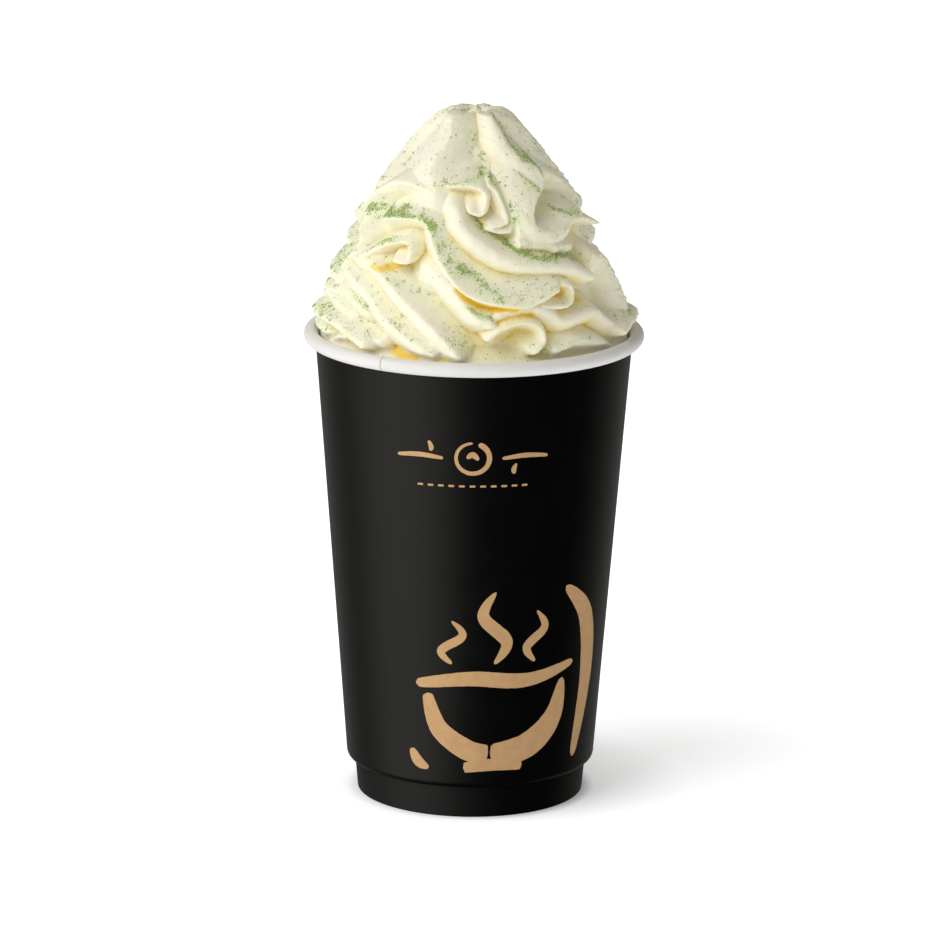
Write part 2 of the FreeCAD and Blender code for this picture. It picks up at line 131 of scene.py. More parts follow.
def new_piece(
    name: str,
    points: np.ndarray,
    faces: np.ndarray | list,
    material: bpy.types.Material,
    smooth: bool = True,
) -> bpy.types.Object:
    """Make a mesh object from points in millimetres.

    Args:
        name: the piece's name.
        points: one row of x, y and z for each vertex.
        faces: rows of vertex numbers.
        material: the material of all its faces.
        smooth: whether the faces are shaded as one round surface.

    Returns:
        The linked object.
    """
    mesh = bpy.data.meshes.new(name)
    mesh.from_pydata((np.asarray(points) * MM).tolist(), [], [list(map(int, f)) for f in faces])
    mesh.polygons.foreach_set("use_smooth", [smooth] * len(mesh.polygons))
    mesh.materials.append(material)
    mesh.update()
    piece = bpy.data.objects.new(name, mesh)
    bpy.context.scene.collection.objects.link(piece)
    return piece


def face_outwards(piece: bpy.types.Object) -> None:
    """Turn every face of a closed piece outwards.

    Args:
        piece: the piece, which may be several closed shapes.
    """
    work = bmesh.new()
    work.from_mesh(piece.data)
    bmesh.ops.recalc_face_normals(work, faces=work.faces)
    work.to_mesh(piece.data)
    work.free()


def set_attribute(piece: bpy.types.Object, name: str, values: np.ndarray) -> None:
    """Store one number for each vertex of a piece, for its material to read."""
    layer = piece.data.attributes.new(name, "FLOAT", "POINT")
    layer.data.foreach_set("value", np.asarray(values, dtype=np.float32))


def ease(share: np.ndarray | float) -> np.ndarray | float:
    """Run from 0 to 1 with a soft start and stop."""
    share = np.clip(share, 0.0, 1.0)
    return share * share * (3 - 2 * share)


def smooth_path(points: tuple | list, steps: int) -> np.ndarray:
    """Run a Catmull-Rom curve through points.

    Args:
        points: the points that the curve goes through, of any number of values each.
        steps: how many points of the curve each span gets.

    Returns:
        The curve's points, one row each.
    """
    points = np.array(points, dtype=float)
    ends = np.vstack([points[:1], points, points[-1:]])
    share = np.linspace(0, 1, steps, endpoint=False)[:, None]
    curve = []
    for a, b, c, d in zip(ends, ends[1:], ends[2:], ends[3:]):
        bend = 2 * a - 5 * b + 4 * c - d + share * (3 * (b - c) + d - a)
        curve.append(b + 0.5 * share * (c - a + share * bend))
    return np.vstack(curve + [points[-1:]])


def between(
    pair: tuple[float, float] | tuple[np.ndarray, np.ndarray], share: np.ndarray
) -> np.ndarray:
    """Give the values between the two of a pair."""
    return pair[0] + (pair[1] - pair[0]) * share


def points_beside(line: np.ndarray, reach: float, points: np.ndarray) -> np.ndarray:
    """Give the numbers of the points inside a line's box, which is grown by a reach."""
    inside = np.all((points >= line.min(0) - reach) & (points <= line.max(0) + reach), axis=1)
    return np.nonzero(inside)[0]


def closest_on(
    line: np.ndarray, points: np.ndarray
) -> tuple[np.ndarray, np.ndarray, np.ndarray]:
    """Find the spot on a line of straight spans that each point is closest to.

    Args:
        line: the ends of the spans, one row each.
        points: the points, one row each.

    Returns:
        For each point, the number of the span, the share of that span at which the spot lies,
        and the way from the spot to the point.
    """
    gap = np.full(len(points), np.inf)
    spans = np.zeros(len(points), dtype=int)
    shares = np.zeros(len(points))
    ways = np.zeros((len(points), 3))
    for span, (start, end) in enumerate(zip(line, line[1:])):
        along = end - start
        share = np.clip((points - start) @ along / np.linalg.norm(along) ** 2, 0, 1)
        way = points - start - share[:, None] * along
        distance = np.linalg.norm(way, axis=1)
        closer = distance < gap
        gap[closer] = distance[closer]
        spans[closer] = span
        shares[closer] = share[closer]
        ways[closer] = way[closer]
    return spans, shares, ways


def ring_faces(rows: int, columns: int) -> np.ndarray:
    """Join rings of points with quads.

    Args:
        rows: how many rings there are.
        columns: points in each ring.

    Returns:
        Vertex numbers, four to a face, wound to face outwards for rings that climb.
    """
    row = np.arange(rows - 1)[:, None]
    column = np.arange(columns)[None, :]
    after = (column + 1) % columns
    above = row + 1
    corners = [row * columns + column, row * columns + after]
    corners += [above * columns + after, above * columns + column]
    return np.stack([np.broadcast_to(c, (len(row), columns)) for c in corners], 2).reshape(-1, 4)


# ---------------------------------------------------------------- finishes


@dataclass(frozen=True)
class CheeseFoam:
    """Whipped cream and cheese: soft, dense, light goes in a few millimetres and comes out warm."""

    # painted bounce light and shade: the foam's colour runs from crest to fold to hollow as it is
    # more shut in, yellower where light would be caught
    crest: str = "#F3EEDA"
    fold: str = "#F1E8BE"
    hollow: str = "#F0CC48"  # light that has bounced in a fold comes out yellow
    shut_in: tuple[float, float, float] = (0.3, 0.66, 0.95)  # how deep those three lie, 0 to 1
    dusted: str = "#ECEFCF"  # the finest powder only tints the foam
    roughness: float = 0.5
    ior: float = 1.45  # fat in water
    glow_mm: float = 1.5  # how far light travels inside
    warmth: tuple[float, float, float] = (1.0, 0.92, 0.5)  # blue travels least
    bubble_mm: float = 0.35
    pit_mm: float = 0.16  # how deep a burst bubble is
    blotch_mm: float = 4.0  # the size of the patches that the powder tints

    def build(self) -> bpy.types.Material:
        """Make the material.

        Returns:
            The material.
        """
        material, tree = new_material("cheese_foam_whipped")
        hollow = add_node(tree, "ShaderNodeAttribute", {"attribute_name": "hollow"})
        dust = add_node(tree, "ShaderNodeAttribute", {"attribute_name": "dust"})
        place = add_node(tree, "ShaderNodeTexCoord")
        blotch = add_node(
            tree, "ShaderNodeTexNoise",
            values={"Scale": 1 / (self.blotch_mm * MM), "Detail": 3.0},
            links={"Vector": (place, "Object")},
        )
        # painted bounce light and shade: the colour yellows where the foam is shut in
        base = add_node(tree, "ShaderNodeValToRGB", links={"Fac": (hollow, "Fac")})
        stops = base.color_ramp.elements
        stops[0].position, stops[1].position = self.shut_in[0], self.shut_in[2]
        stops.new(self.shut_in[1])
        for stop, colour in zip(stops, (self.crest, self.fold, self.hollow)):
            stop.color = linear(colour)
        patch = add_node(
            tree, "ShaderNodeMath", {"operation": "MULTIPLY"},
            links={0: (dust, "Fac"), 1: (blotch, "Fac")},
        )
        tint = add_node(
            tree, "ShaderNodeMix", {"data_type": "RGBA"}, {"B": linear(self.dusted)},
            {"Factor": (patch, "Value"), "A": (base, "Color")},
        )
        bubbles = add_node(
            tree, "ShaderNodeTexNoise",
            values={"Scale": 1 / (self.bubble_mm * MM), "Detail": 2.0},
            links={"Vector": (place, "Object")},
        )
        bump = add_node(
            tree, "ShaderNodeBump", values={"Strength": 0.5, "Distance": self.pit_mm * MM},
            links={"Height": (bubbles, "Fac")},
        )
        shader = add_node(
            tree, "ShaderNodeBsdfPrincipled",
            values={
                "Roughness": self.roughness,
                "IOR": self.ior,
                "Subsurface Weight": 0.75,
                "Subsurface Radius": self.warmth,
                "Subsurface Scale": self.glow_mm * MM,
                "Specular IOR Level": 0.35,
            },
            links={"Base Color": (tint, "Result"), "Normal": (bump, "Normal")},
        )
        add_node(tree, "ShaderNodeOutputMaterial", links={"Surface": (shader, "BSDF")})
        return material


@dataclass(frozen=True)
class GreenTeaPowder:
    """Stone-ground green tea: dull clumps of very fine leaf dust, no two quite one green."""

    pale: str = "#CFE08C"
    deep: str = "#7FA232"
    roughness: float = 0.9

    def build(self) -> bpy.types.Material:
        """Make the material.

        Returns:
            The material.
        """
        material, tree = new_material("green_tea_ground")
        shade = add_node(tree, "ShaderNodeAttribute", {"attribute_name": "shade"})
        colour = add_node(
            tree, "ShaderNodeMix", {"data_type": "RGBA"},
            {"A": linear(self.pale), "B": linear(self.deep)}, {"Factor": (shade, "Fac")},
        )
        shader = add_node(
            tree, "ShaderNodeBsdfPrincipled",
            values={"Roughness": self.roughness, "IOR": 1.4, "Specular IOR Level": 0.2},
            links={"Base Color": (colour, "Result")},
        )
        add_node(tree, "ShaderNodeOutputMaterial", links={"Surface": (shader, "BSDF")})
        return material


class Coat(Enum):
    """The coats of the cup's board: its colour, its colour where the coat is thin, roughness."""

    WHITE = ("#E4E2DF", "#DCD9D3", 0.5)  # clay coating, glazed by the press
    BLACK = ("#040404", "#090909", 0.36)  # matt black ink under a thin varnish


@dataclass(frozen=True)
class Paperboard:
    """Pressed cup board: smooth, with a faint tooth from its fibres under ink or coating.

    Attributes:
        name: the material's name.
        coat: the coat that most of the board has.
        foot: the coat below foot_mm, where the print runs round the cup's foot.
        foot_mm: the height of that border above the floor.
        fibre_mm: how coarse the tooth is, drawn larger than a fibre so that it shows.
        tooth: how much it shows.
        tooth_mm: how deep it is.
        cloud_mm: the size of the patches where the coat is thinner.
        uneven: how far the roughness strays to either side with the fibres.
    """

    name: str
    coat: Coat
    foot: Coat | None = None
    foot_mm: float = 12.0
    fibre_mm: float = 0.5
    tooth: float = 0.12
    tooth_mm: float = 0.05
    cloud_mm: float = 9.0
    uneven: float = 0.06

    def add_foot(
        self, tree: bpy.types.NodeTree, place: bpy.types.Node, colour: bpy.types.Node
    ) -> bpy.types.Node:
        """Change the colour below the foot's border.

        Args:
            tree: the material's node tree.
            place: the texture coordinates.
            colour: the node that gives the colour above the border.

        Returns:
            The node that gives both.
        """
        parts = add_node(tree, "ShaderNodeSeparateXYZ", links={"Vector": (place, "Object")})
        below = add_node(
            tree, "ShaderNodeMath", {"operation": "LESS_THAN"}, {1: self.foot_mm * MM},
            {0: (parts, "Z")},
        )
        return add_node(
            tree, "ShaderNodeMix", {"data_type": "RGBA"}, {"B": linear(self.foot.value[0])},
            {"Factor": (below, "Value"), "A": (colour, "Result")},
        )

    def build(self) -> bpy.types.Material:
        """Make the material.

        Returns:
            The material.
        """
        material, tree = new_material(self.name)
        place = add_node(tree, "ShaderNodeTexCoord")
        fibres = add_node(
            tree, "ShaderNodeTexNoise",
            values={"Scale": 1 / (self.fibre_mm * MM), "Detail": 4.0, "Roughness": 0.6},
            links={"Vector": (place, "Object")},
        )
        clouds = add_node(
            tree, "ShaderNodeTexNoise",
            values={"Scale": 1 / (self.cloud_mm * MM), "Detail": 3.0},
            links={"Vector": (place, "Object")},
        )
        blend = add_node(
            tree, "ShaderNodeMapRange",
            values={"From Min": 0.35, "From Max": 0.75, "To Min": 0.0, "To Max": 0.5},
            links={"Value": (clouds, "Fac")},
        )
        full, thin, roughness = self.coat.value
        colour = add_node(
            tree, "ShaderNodeMix", {"data_type": "RGBA"},
            {"A": linear(full), "B": linear(thin)}, {"Factor": (blend, "Result")},
        )
        if self.foot:
            colour = self.add_foot(tree, place, colour)
        gloss = add_node(
            tree, "ShaderNodeMapRange",
            values={"To Min": roughness - self.uneven, "To Max": roughness + self.uneven},
            links={"Value": (fibres, "Fac")},
        )
        bump = add_node(
            tree, "ShaderNodeBump",
            values={"Strength": self.tooth, "Distance": self.tooth_mm * MM},
            links={"Height": (fibres, "Fac")},
        )
        shader = add_node(
            tree, "ShaderNodeBsdfPrincipled", values={"IOR": 1.5},
            links={
                "Base Color": (colour, "Result"),
                "Roughness": (gloss, "Result"),
                "Normal": (bump, "Normal"),
            },
        )
        add_node(tree, "ShaderNodeOutputMaterial", links={"Surface": (shader, "BSDF")})
        return material


@dataclass(frozen=True)
class CutBoard:
    """The cut edge of cup board: bare fibre, greyer and duller than its coated face."""

    dark: str = "#A39B92"
    pale: str = "#BDB6AD"
    fibre_mm: float = 0.3
    roughness: float = 0.85

    def build(self) -> bpy.types.Material:
        """Make the material.

        Returns:
            The material.
        """
        material, tree = new_material("cup_board_cut")
        place = add_node(tree, "ShaderNodeTexCoord")
        fibres = add_node(
            tree, "ShaderNodeTexNoise",
            values={"Scale": 1 / (self.fibre_mm * MM), "Detail": 3.0},
            links={"Vector": (place, "Object")},
        )
        tone = add_node(
            tree, "ShaderNodeMix", {"data_type": "RGBA"},
            {"A": linear(self.dark), "B": linear(self.pale)}, {"Factor": (fibres, "Fac")},
        )
        shader = add_node(
            tree, "ShaderNodeBsdfPrincipled", values={"Roughness": self.roughness, "IOR": 1.5},
            links={"Base Color": (tone, "Result")},
        )
        add_node(tree, "ShaderNodeOutputMaterial", links={"Surface": (shader, "BSDF")})
        return material


@dataclass(frozen=True)
class BronzeInk:
    """Tan-gold printing ink: flat pigment with a little metal flake, thinner where it is dry."""

    full: str = "#D4AE7C"
    thin: str = "#BF9262"
    roughness: float = 0.55
    flake: float = 0.2  # the share of metal in it
    grain_mm: float = 2.5  # the size of the dry patches

    def build(self) -> bpy.types.Material:
        """Make the material.

        Returns:
            The material.
        """
        material, tree = new_material("bronze_ink_printed")
        place = add_node(tree, "ShaderNodeTexCoord")
        grain = add_node(
            tree, "ShaderNodeTexNoise",
            values={"Scale": 1 / (self.grain_mm * MM), "Detail": 5.0},
            links={"Vector": (place, "Object")},
        )
        colour = add_node(
            tree, "ShaderNodeMix", {"data_type": "RGBA"},
            {"A": linear(self.full), "B": linear(self.thin)}, {"Factor": (grain, "Fac")},
        )
        shader = add_node(
            tree, "ShaderNodeBsdfPrincipled",
            values={"Roughness": self.roughness, "Metallic": self.flake, "IOR": 1.5},
            links={"Base Color": (colour, "Result")},
        )
        add_node(tree, "ShaderNodeOutputMaterial", links={"Surface": (shader, "BSDF")})
        return material


@dataclass(frozen=True)
class StudioPaper:
    """Seamless white background paper that glows from beneath, with painted shade near its middle.

    Attributes:
        colour: the paper, a little blue, which the warm air evens out.
        glow_and_painted_shade: how strongly it glows, as (mm from the middle, strength): painted
            shade, dim at the cup's foot as its contact shadow, and painted light further out that
            fades the cup's cast shadow.
        tooth_mm: how coarse its tooth is.
        tooth_depth: how deep, mm.
    """

    colour: str = "#F6F8FD"
    glow_and_painted_shade: tuple[tuple[float, float], ...] = (
        (30.0, 0.15), (33.5, 0.43), (60.0, 0.59), (150.0, 0.68)
    )
    tooth_mm: float = 1.2
    tooth_depth: float = 0.05

    def build(self) -> bpy.types.Material:
        """Make the material.

        Returns:
            The material.
        """
        material, tree = new_material("background_paper")
        place = add_node(tree, "ShaderNodeTexCoord")
        grain = add_node(
            tree, "ShaderNodeTexNoise",
            values={"Scale": 1 / (self.tooth_mm * MM), "Detail": 2.0},
            links={"Vector": (place, "Object")},
        )
        bump = add_node(
            tree, "ShaderNodeBump",
            values={"Strength": 0.05, "Distance": self.tooth_depth * MM},
            links={"Height": (grain, "Fac")},
        )
        away = add_node(
            tree, "ShaderNodeVectorMath", {"operation": "LENGTH"}, links={0: (place, "Object")},
        )
        far = self.glow_and_painted_shade[-1][0]
        share = add_node(
            tree, "ShaderNodeMapRange", values={"From Max": far * MM},
            links={"Value": (away, "Value")},
        )
        # painted shade: the paper glows less at the cup's foot, a contact shadow, and more further
        # out, which fades the cup's cast shadow
        glow_and_painted_shade = add_node(tree, "ShaderNodeValToRGB", links={"Fac": (share, "Result")})
        stops = glow_and_painted_shade.color_ramp.elements
        given = len(stops)
        for number, (distance, strength) in enumerate(self.glow_and_painted_shade):
            stop = stops[number] if number < given else stops.new(1.0)
            stop.position = distance / far
            stop.color = (strength, strength, strength, 1.0)
        shader = add_node(
            tree, "ShaderNodeBsdfPrincipled",
            values={
                "Base Color": linear(self.colour),
                "Roughness": 0.9,
                "IOR": 1.45,
                "Emission Color": linear("#FFFFFF"),
            },
            links={"Normal": (bump, "Normal"), "Emission Strength": (glow_and_painted_shade, "Color")},
        )
        add_node(tree, "ShaderNodeOutputMaterial", links={"Surface": (shader, "BSDF")})
        return material


# ---------------------------------------------------------------- the swirl's folds


@dataclass(frozen=True)
class Fold:
    """One piped fold: a path over the mound and how the foam stands along it.

    Attributes:
        path: the line of its crest in (degrees, level) pairs: degrees round from the front
            towards +X, level 0 at the cup's rim and 100 at the top of the swirl.
        rise: how far the crest stands proud of the core, mm.
        above: width of the flank left of the path's direction, at its start and its end, mm.
        below: width of the other flank, likewise.
        form: how full the two flanks are: 1 is straight, less is hollow, more is round.
        fade: share of the path over which the fold rises from the core.
        dust: how much powder lies on the two flanks, 0 to 1.
        torn: how ragged its crest is, 0 to 1.
    """

    path: tuple[tuple[float, float], ...]
    rise: float
    above: tuple[float, float]
    below: tuple[float, float]
    form: tuple[float, float]
    fade: float = 0.12
    dust: tuple[float, float] = (0.0, 0.0)
    torn: float = 0.0


FULL_RISE = 10.0  # the rise with which a crest reaches the mound's outline, mm

FRONT_FOLDS = (
    # the peak: three leaves that run down from the cut top
    Fold(
        ((-35, 99), (-26, 92), (-31, 85), (-31, 77), (-25, 71)),
        9.8, (7, 13), (10, 16), (0.9, 1.45), fade=0, dust=(0.1, 0.1),
    ),
    Fold(
        ((21, 100), (27, 91), (29, 87), (46, 78), (47, 73)),
        9.8, (5, 5), (4.5, 11), (0.85, 1.6), fade=0, dust=(0.4, 0.1),
    ),
    Fold(
        ((78, 91), (78, 84), (86, 68), (96, 58)),
        6.2, (7, 8), (7, 9), (1.2, 1.2), fade=0, dust=(0.3, 0.3), torn=0.8,
    ),
    # the roll at the foot of the hollow between them, and the strands that turn under beside it
    Fold(
        ((-22, 70), (-14, 72), (-1, 72), (6, 69), (5, 63), (2, 61), (-2, 62)),
        9.7, (2.2, 2.2), (6, 6), (1.6, 0.7),
    ),
    Fold(
        ((5, 73), (12, 70), (16, 63), (17, 57), (9, 55)),
        8, (1.8, 1.8), (5.5, 5), (1.4, 0.9),
    ),
    Fold(((4, 55), (11, 53), (18, 53), (21, 57)), 7.1, (3.5, 3.5), (2, 2), (1.2, 1.6)),
    Fold(((20, 53), (31, 51), (41, 45)), 8, (4, 5), (5, 4), (1.5, 1.8), torn=0.3),
    # the left shoulder's scallop
    Fold(
        ((-118, 46), (-98, 50), (-82, 57), (-62, 69), (-42, 71), (-26, 69)),
        9.8, (3, 3), (8, 9), (1.4, 0.8), dust=(0.2, 0.0),
    ),
    # the upper band, which sweeps from the peak down to the right
    Fold(
        ((-24, 69), (-11, 64), (-6, 56), (3, 49), (14, 43), (29, 40), (44, 37), (56, 32)),
        9.8, (2.4, 2.2), (8, 5), (1.8, 1.7), dust=(0.1, 0.02),
    ),
    # the dusted band under it, with a blunt end on the right
    Fold(
        ((-64, 52), (-51, 56), (-34, 58), (-24, 56), (-19, 47), (-10, 35),
         (-2, 28), (10, 24), (21, 23), (35, 28)),
        10.2, (4, 9), (9, 3.5), (1.1, 0.75), dust=(0.4, 0.0),
    ),
    Fold(
        ((36, 31), (43, 28), (41, 22), (35, 21), (28, 22)),
        8.8, (2.2, 2.2), (4.5, 4.5), (1.6, 0.8),
    ),
    # the small hooked scallop on the left, and the powdered ridge that it leaves
    Fold(
        ((-71, 62), (-71, 51), (-64, 43), (-72, 31)),
        9.4, (4.5, 4.5), (6, 6), (1.2, 1.3), dust=(0.7, 0.8),
    ),
    Fold(
        ((-63, 35), (-51, 42), (-43, 46), (-35, 48), (-30, 45), (-31, 40), (-37, 40)),
        9.8, (2, 2), (6, 5), (1.5, 0.7), dust=(0.1, 0.0),
    ),
    # long folds that fall from the left to the rim at the front
    Fold(
        ((-58, 39), (-46, 36), (-31, 26), (-19, 17), (-9, 7), (-5, 1)),
        9.9, (3.4, 3.4), (7, 8), (0.9, 1.5), dust=(0.3, 0.0),
    ),
    Fold(
        ((-75, 32), (-50, 25), (-33, 13), (-15, 2)),
        9.1, (3.5, 4), (8, 7), (1.1, 1.4), dust=(0.5, 0.1),
    ),
    Fold(
        ((-35, 38), (-21, 37), (-12, 34), (-4, 25), (1, 19), (6, 17)),
        9.8, (3, 3.5), (10, 6), (0.9, 1.5), fade=0.5, dust=(0.0, 0.02),
    ),
    # the wavy fold on the right
    Fold(
        ((1, 12), (6, 17), (12, 21), (23, 22), (31, 19), (36, 15),
         (44, 16), (54, 16), (63, 9), (83, -2)),
        8.5, (3, 3.5), (6, 6), (0.9, 1.5),
    ),
    # the hook and the ledge between it and the rim
    Fold(
        ((2, 6), (9, 13), (18, 16), (25, 13), (26, 7), (22, 3)),
        9.4, (2.2, 2.2), (5, 5), (1.6, 0.7), dust=(0.2, 0.2),
    ),
    Fold(
        ((26, 2), (32, 4), (40, 6), (50, 4), (61, -1)),
        8.8, (2.2, 2.2), (5, 5), (1.3, 1.6),
    ),
    # the right shoulder: a hollow with a ledge in it, and torn lobes outside it
    Fold(
        ((48, 73), (34, 64), (31, 56), (37, 52), (48, 53), (57, 57), (69, 57)),
        9.8, (5, 5), (13, 4), (0.7, 1.7), dust=(0.25, 0.35),
    ),
    Fold(
        ((50, 76), (62, 73), (75, 68), (84, 61)),
        7.4, (5, 5), (7, 7), (1.2, 0.8), dust=(0.3, 0.4), torn=0.4,
    ),
    Fold(((56, 56), (69, 54), (86, 49)), 9.8, (3, 3), (4.5, 2.5), (1.2, 1.3), torn=0.8),
    Fold(
        ((18, 48), (36, 46), (51, 44)),
        7.7, (4, 4), (4, 4), (1.3, 1.3), dust=(0.0, 0.3), torn=0.6,
    ),
    Fold(
        ((58, 39), (71, 37), (78, 26), (80, 14)),
        9.7, (4, 4), (8, 8), (1.3, 1.5), dust=(0.2, 0.2), torn=0.5,
    ),
    # a lobe that leans over the rim on the right, and broad low folds on the left
    Fold(
        ((60, 4), (76, 8), (94, 8), (112, 4)),
        12, (3, 3), (4, 4), (1.2, 1.5), dust=(0.2, 0.1), torn=0.3,
    ),
    Fold(
        ((-112, 12), (-87, 16), (-66, 22), (-46, 17)),
        8.8, (5, 5), (6, 6), (1.2, 1.4), dust=(0.8, 0.6),
    ),
    Fold(
        ((-112, 6), (-92, 9), (-72, 10), (-56, 9), (-42, 4)),
        11.5, (4, 4), (5, 5), (1.2, 1.4), dust=(0.4, 0.0), torn=0.3,
    ),
    Fold(((-68, -2), (-49, 6), (-37, 4)), 8, (3, 3), (4, 4), (1.2, 1.5), torn=0.3),
)


@dataclass(frozen=True)
class Streak:
    """What lies along a line of the swirl: settled powder, or painted light that a fold has caught.

    Attributes:
        path: (degrees, level) pairs, as a fold's.
        half_width: how far it spreads to either side, mm.
        thick: how dense it is: 1 is a good dusting, or painted light in a fold that is wholly shut.
    """

    path: tuple[tuple[float, float], ...]
    half_width: float
    thick: float


STREAK_REACH = 2.5  # a streak has faded away at this many half widths

STREAKS = (
    # round the peak's flat top and down the edge of its right leaf
    Streak(((-100, 97), (-91, 99), (-30, 101), (56, 100), (74, 99)), 0.7, 1.2),
    Streak(((33, 100), (34, 96), (35, 90), (35, 85), (38, 82)), 0.9, 1.7),
    Streak(((38, 82), (44, 80), (49, 77), (50, 72)), 0.9, 1.3),
    # in the hollow between the leaves, on the roll at its foot and the ridge beside it
    Streak(((-5, 92), (-2, 87), (5, 81), (8, 76)), 1.0, 1.2),
    Streak(((-16, 92), (-12, 86), (-8, 80), (-12, 74)), 2.6, 0.3),
    Streak(((-26, 71), (-17, 72), (-8, 73), (4, 74), (11, 73)), 1.0, 1.8),
    Streak(((12, 73), (15, 68), (19, 63), (22, 57), (19, 52)), 1.2, 1.3),
    # the right shoulder
    Streak(((34, 73), (39, 70), (43, 66), (46, 63)), 1.5, 1.7),
    Streak(((43, 62), (50, 59), (57, 57), (64, 57)), 0.7, 2.0),
    Streak(((36, 53), (44, 52), (51, 53)), 0.8, 1.1),
    Streak(((60, 70), (68, 62), (80, 55)), 1.8, 0.5),
    # the left shoulder, and the upper side of the two long bands
    Streak(((-95, 51), (-96, 58), (-96, 64), (-72, 70)), 1.6, 0.6),
    Streak(((-96, 54), (-67, 57), (-51, 57), (-41, 58), (-30, 57), (-22, 55)), 1.2, 2.6),
    Streak(((-90, 58), (-70, 62), (-55, 62), (-40, 60)), 1.8, 0.9),
    Streak(((-84, 50), (-66, 53), (-50, 53), (-38, 52)), 1.6, 0.6),
    Streak(((-22, 55), (-19, 52), (-16, 47), (-11, 42), (-6, 37)), 1.6, 1.0),
    Streak(((-6, 38), (0, 33), (5, 30), (9, 27), (11, 25)), 1.1, 1.5),
    Streak(((-2, 36), (4, 33), (10, 30)), 1.0, 0.4),
    Streak(((-4, 60), (-1, 57), (2, 54), (7, 51), (14, 47), (21, 44)), 0.5, 5.5),
    Streak(((21, 44), (31, 41), (43, 40), (57, 37)), 0.5, 3.2),
    Streak(((57, 37), (66, 37), (74, 34)), 0.8, 1.4),
    # scattered down the left
    Streak(((-79, 52), (-75, 47), (-69, 43), (-80, 36)), 1.4, 1.2),
    Streak(((-94, 45), (-90, 36), (-84, 30), (-88, 22)), 2.4, 1.0),
    Streak(((-93, 7), (-78, 11), (-66, 15), (-56, 18), (-44, 19)), 1.8, 0.9),
    Streak(((-72, 34), (-66, 27), (-58, 22), (-50, 21), (-45, 18)), 1.3, 0.7),
    Streak(((-48, 16), (-42, 13), (-36, 9)), 1.4, 0.7),
    Streak(((-88, -3), (-78, 4), (-72, 9)), 1.4, 0.8),
    # the hooked scallop, and the valleys of the long folds
    Streak(((-55, 41), (-50, 45), (-42, 47), (-34, 47), (-31, 45)), 0.6, 1.8),
    Streak(((-48, 33), (-37, 31), (-29, 28), (-21, 24)), 0.7, 0.8),
    Streak(((-21, 24), (-15, 20), (-9, 16), (-5, 9), (-3, 2)), 0.9, 1.0),
    Streak(((-3, 23), (1, 20), (6, 18)), 0.6, 2.6),
    # a little on the right and over the rim
    Streak(((76, 12), (84, 8), (90, 3)), 1.6, 0.8),
    Streak(((60, 28), (75, 24), (88, 22)), 2.4, 0.35),
    Streak(((24, 3), (30, 4), (37, 5), (44, 5), (52, 3)), 0.5, 1.6),
    Streak(((12, 9), (17, 12), (21, 13)), 0.5, 1.2),
    Streak(((-1, 0), (9, -1), (20, -2), (32, 0)), 0.8, 0.8),
)


DEEP_FOLDS = (
    # painted bounce light, where light is caught between folds and comes out yellow: under the long
    # bands
    Streak(((-7, 30), (-3, 26), (3, 23), (10, 22), (16, 22)), 1.3, 0.7),
    Streak(((-13, 51), (-6, 44), (2, 39), (13, 35), (29, 34), (47, 31)), 0.8, 0.25),
    Streak(((10, 16), (15, 17), (23, 18)), 1.5, 0.4),
    Streak(((36, 24), (43, 22), (55, 17)), 1.5, 0.3),
    Streak(((-3, 10), (8, 8), (24, 12), (42, 12), (60, 10)), 4.5, 0.15),
    # inside the two hooks
    Streak(((-48, 36), (-43, 35), (-38, 36)), 1.1, 0.9),
    # along the rim
    Streak(((-32, 0), (-27, -1), (-22, -1)), 1.2, 0.7),
    Streak(((-14, -1), (-8, -1)), 0.9, 0.4),
    Streak(((-50, 8), (-48, 5), (-47, 1)), 1.1, 0.6),
)


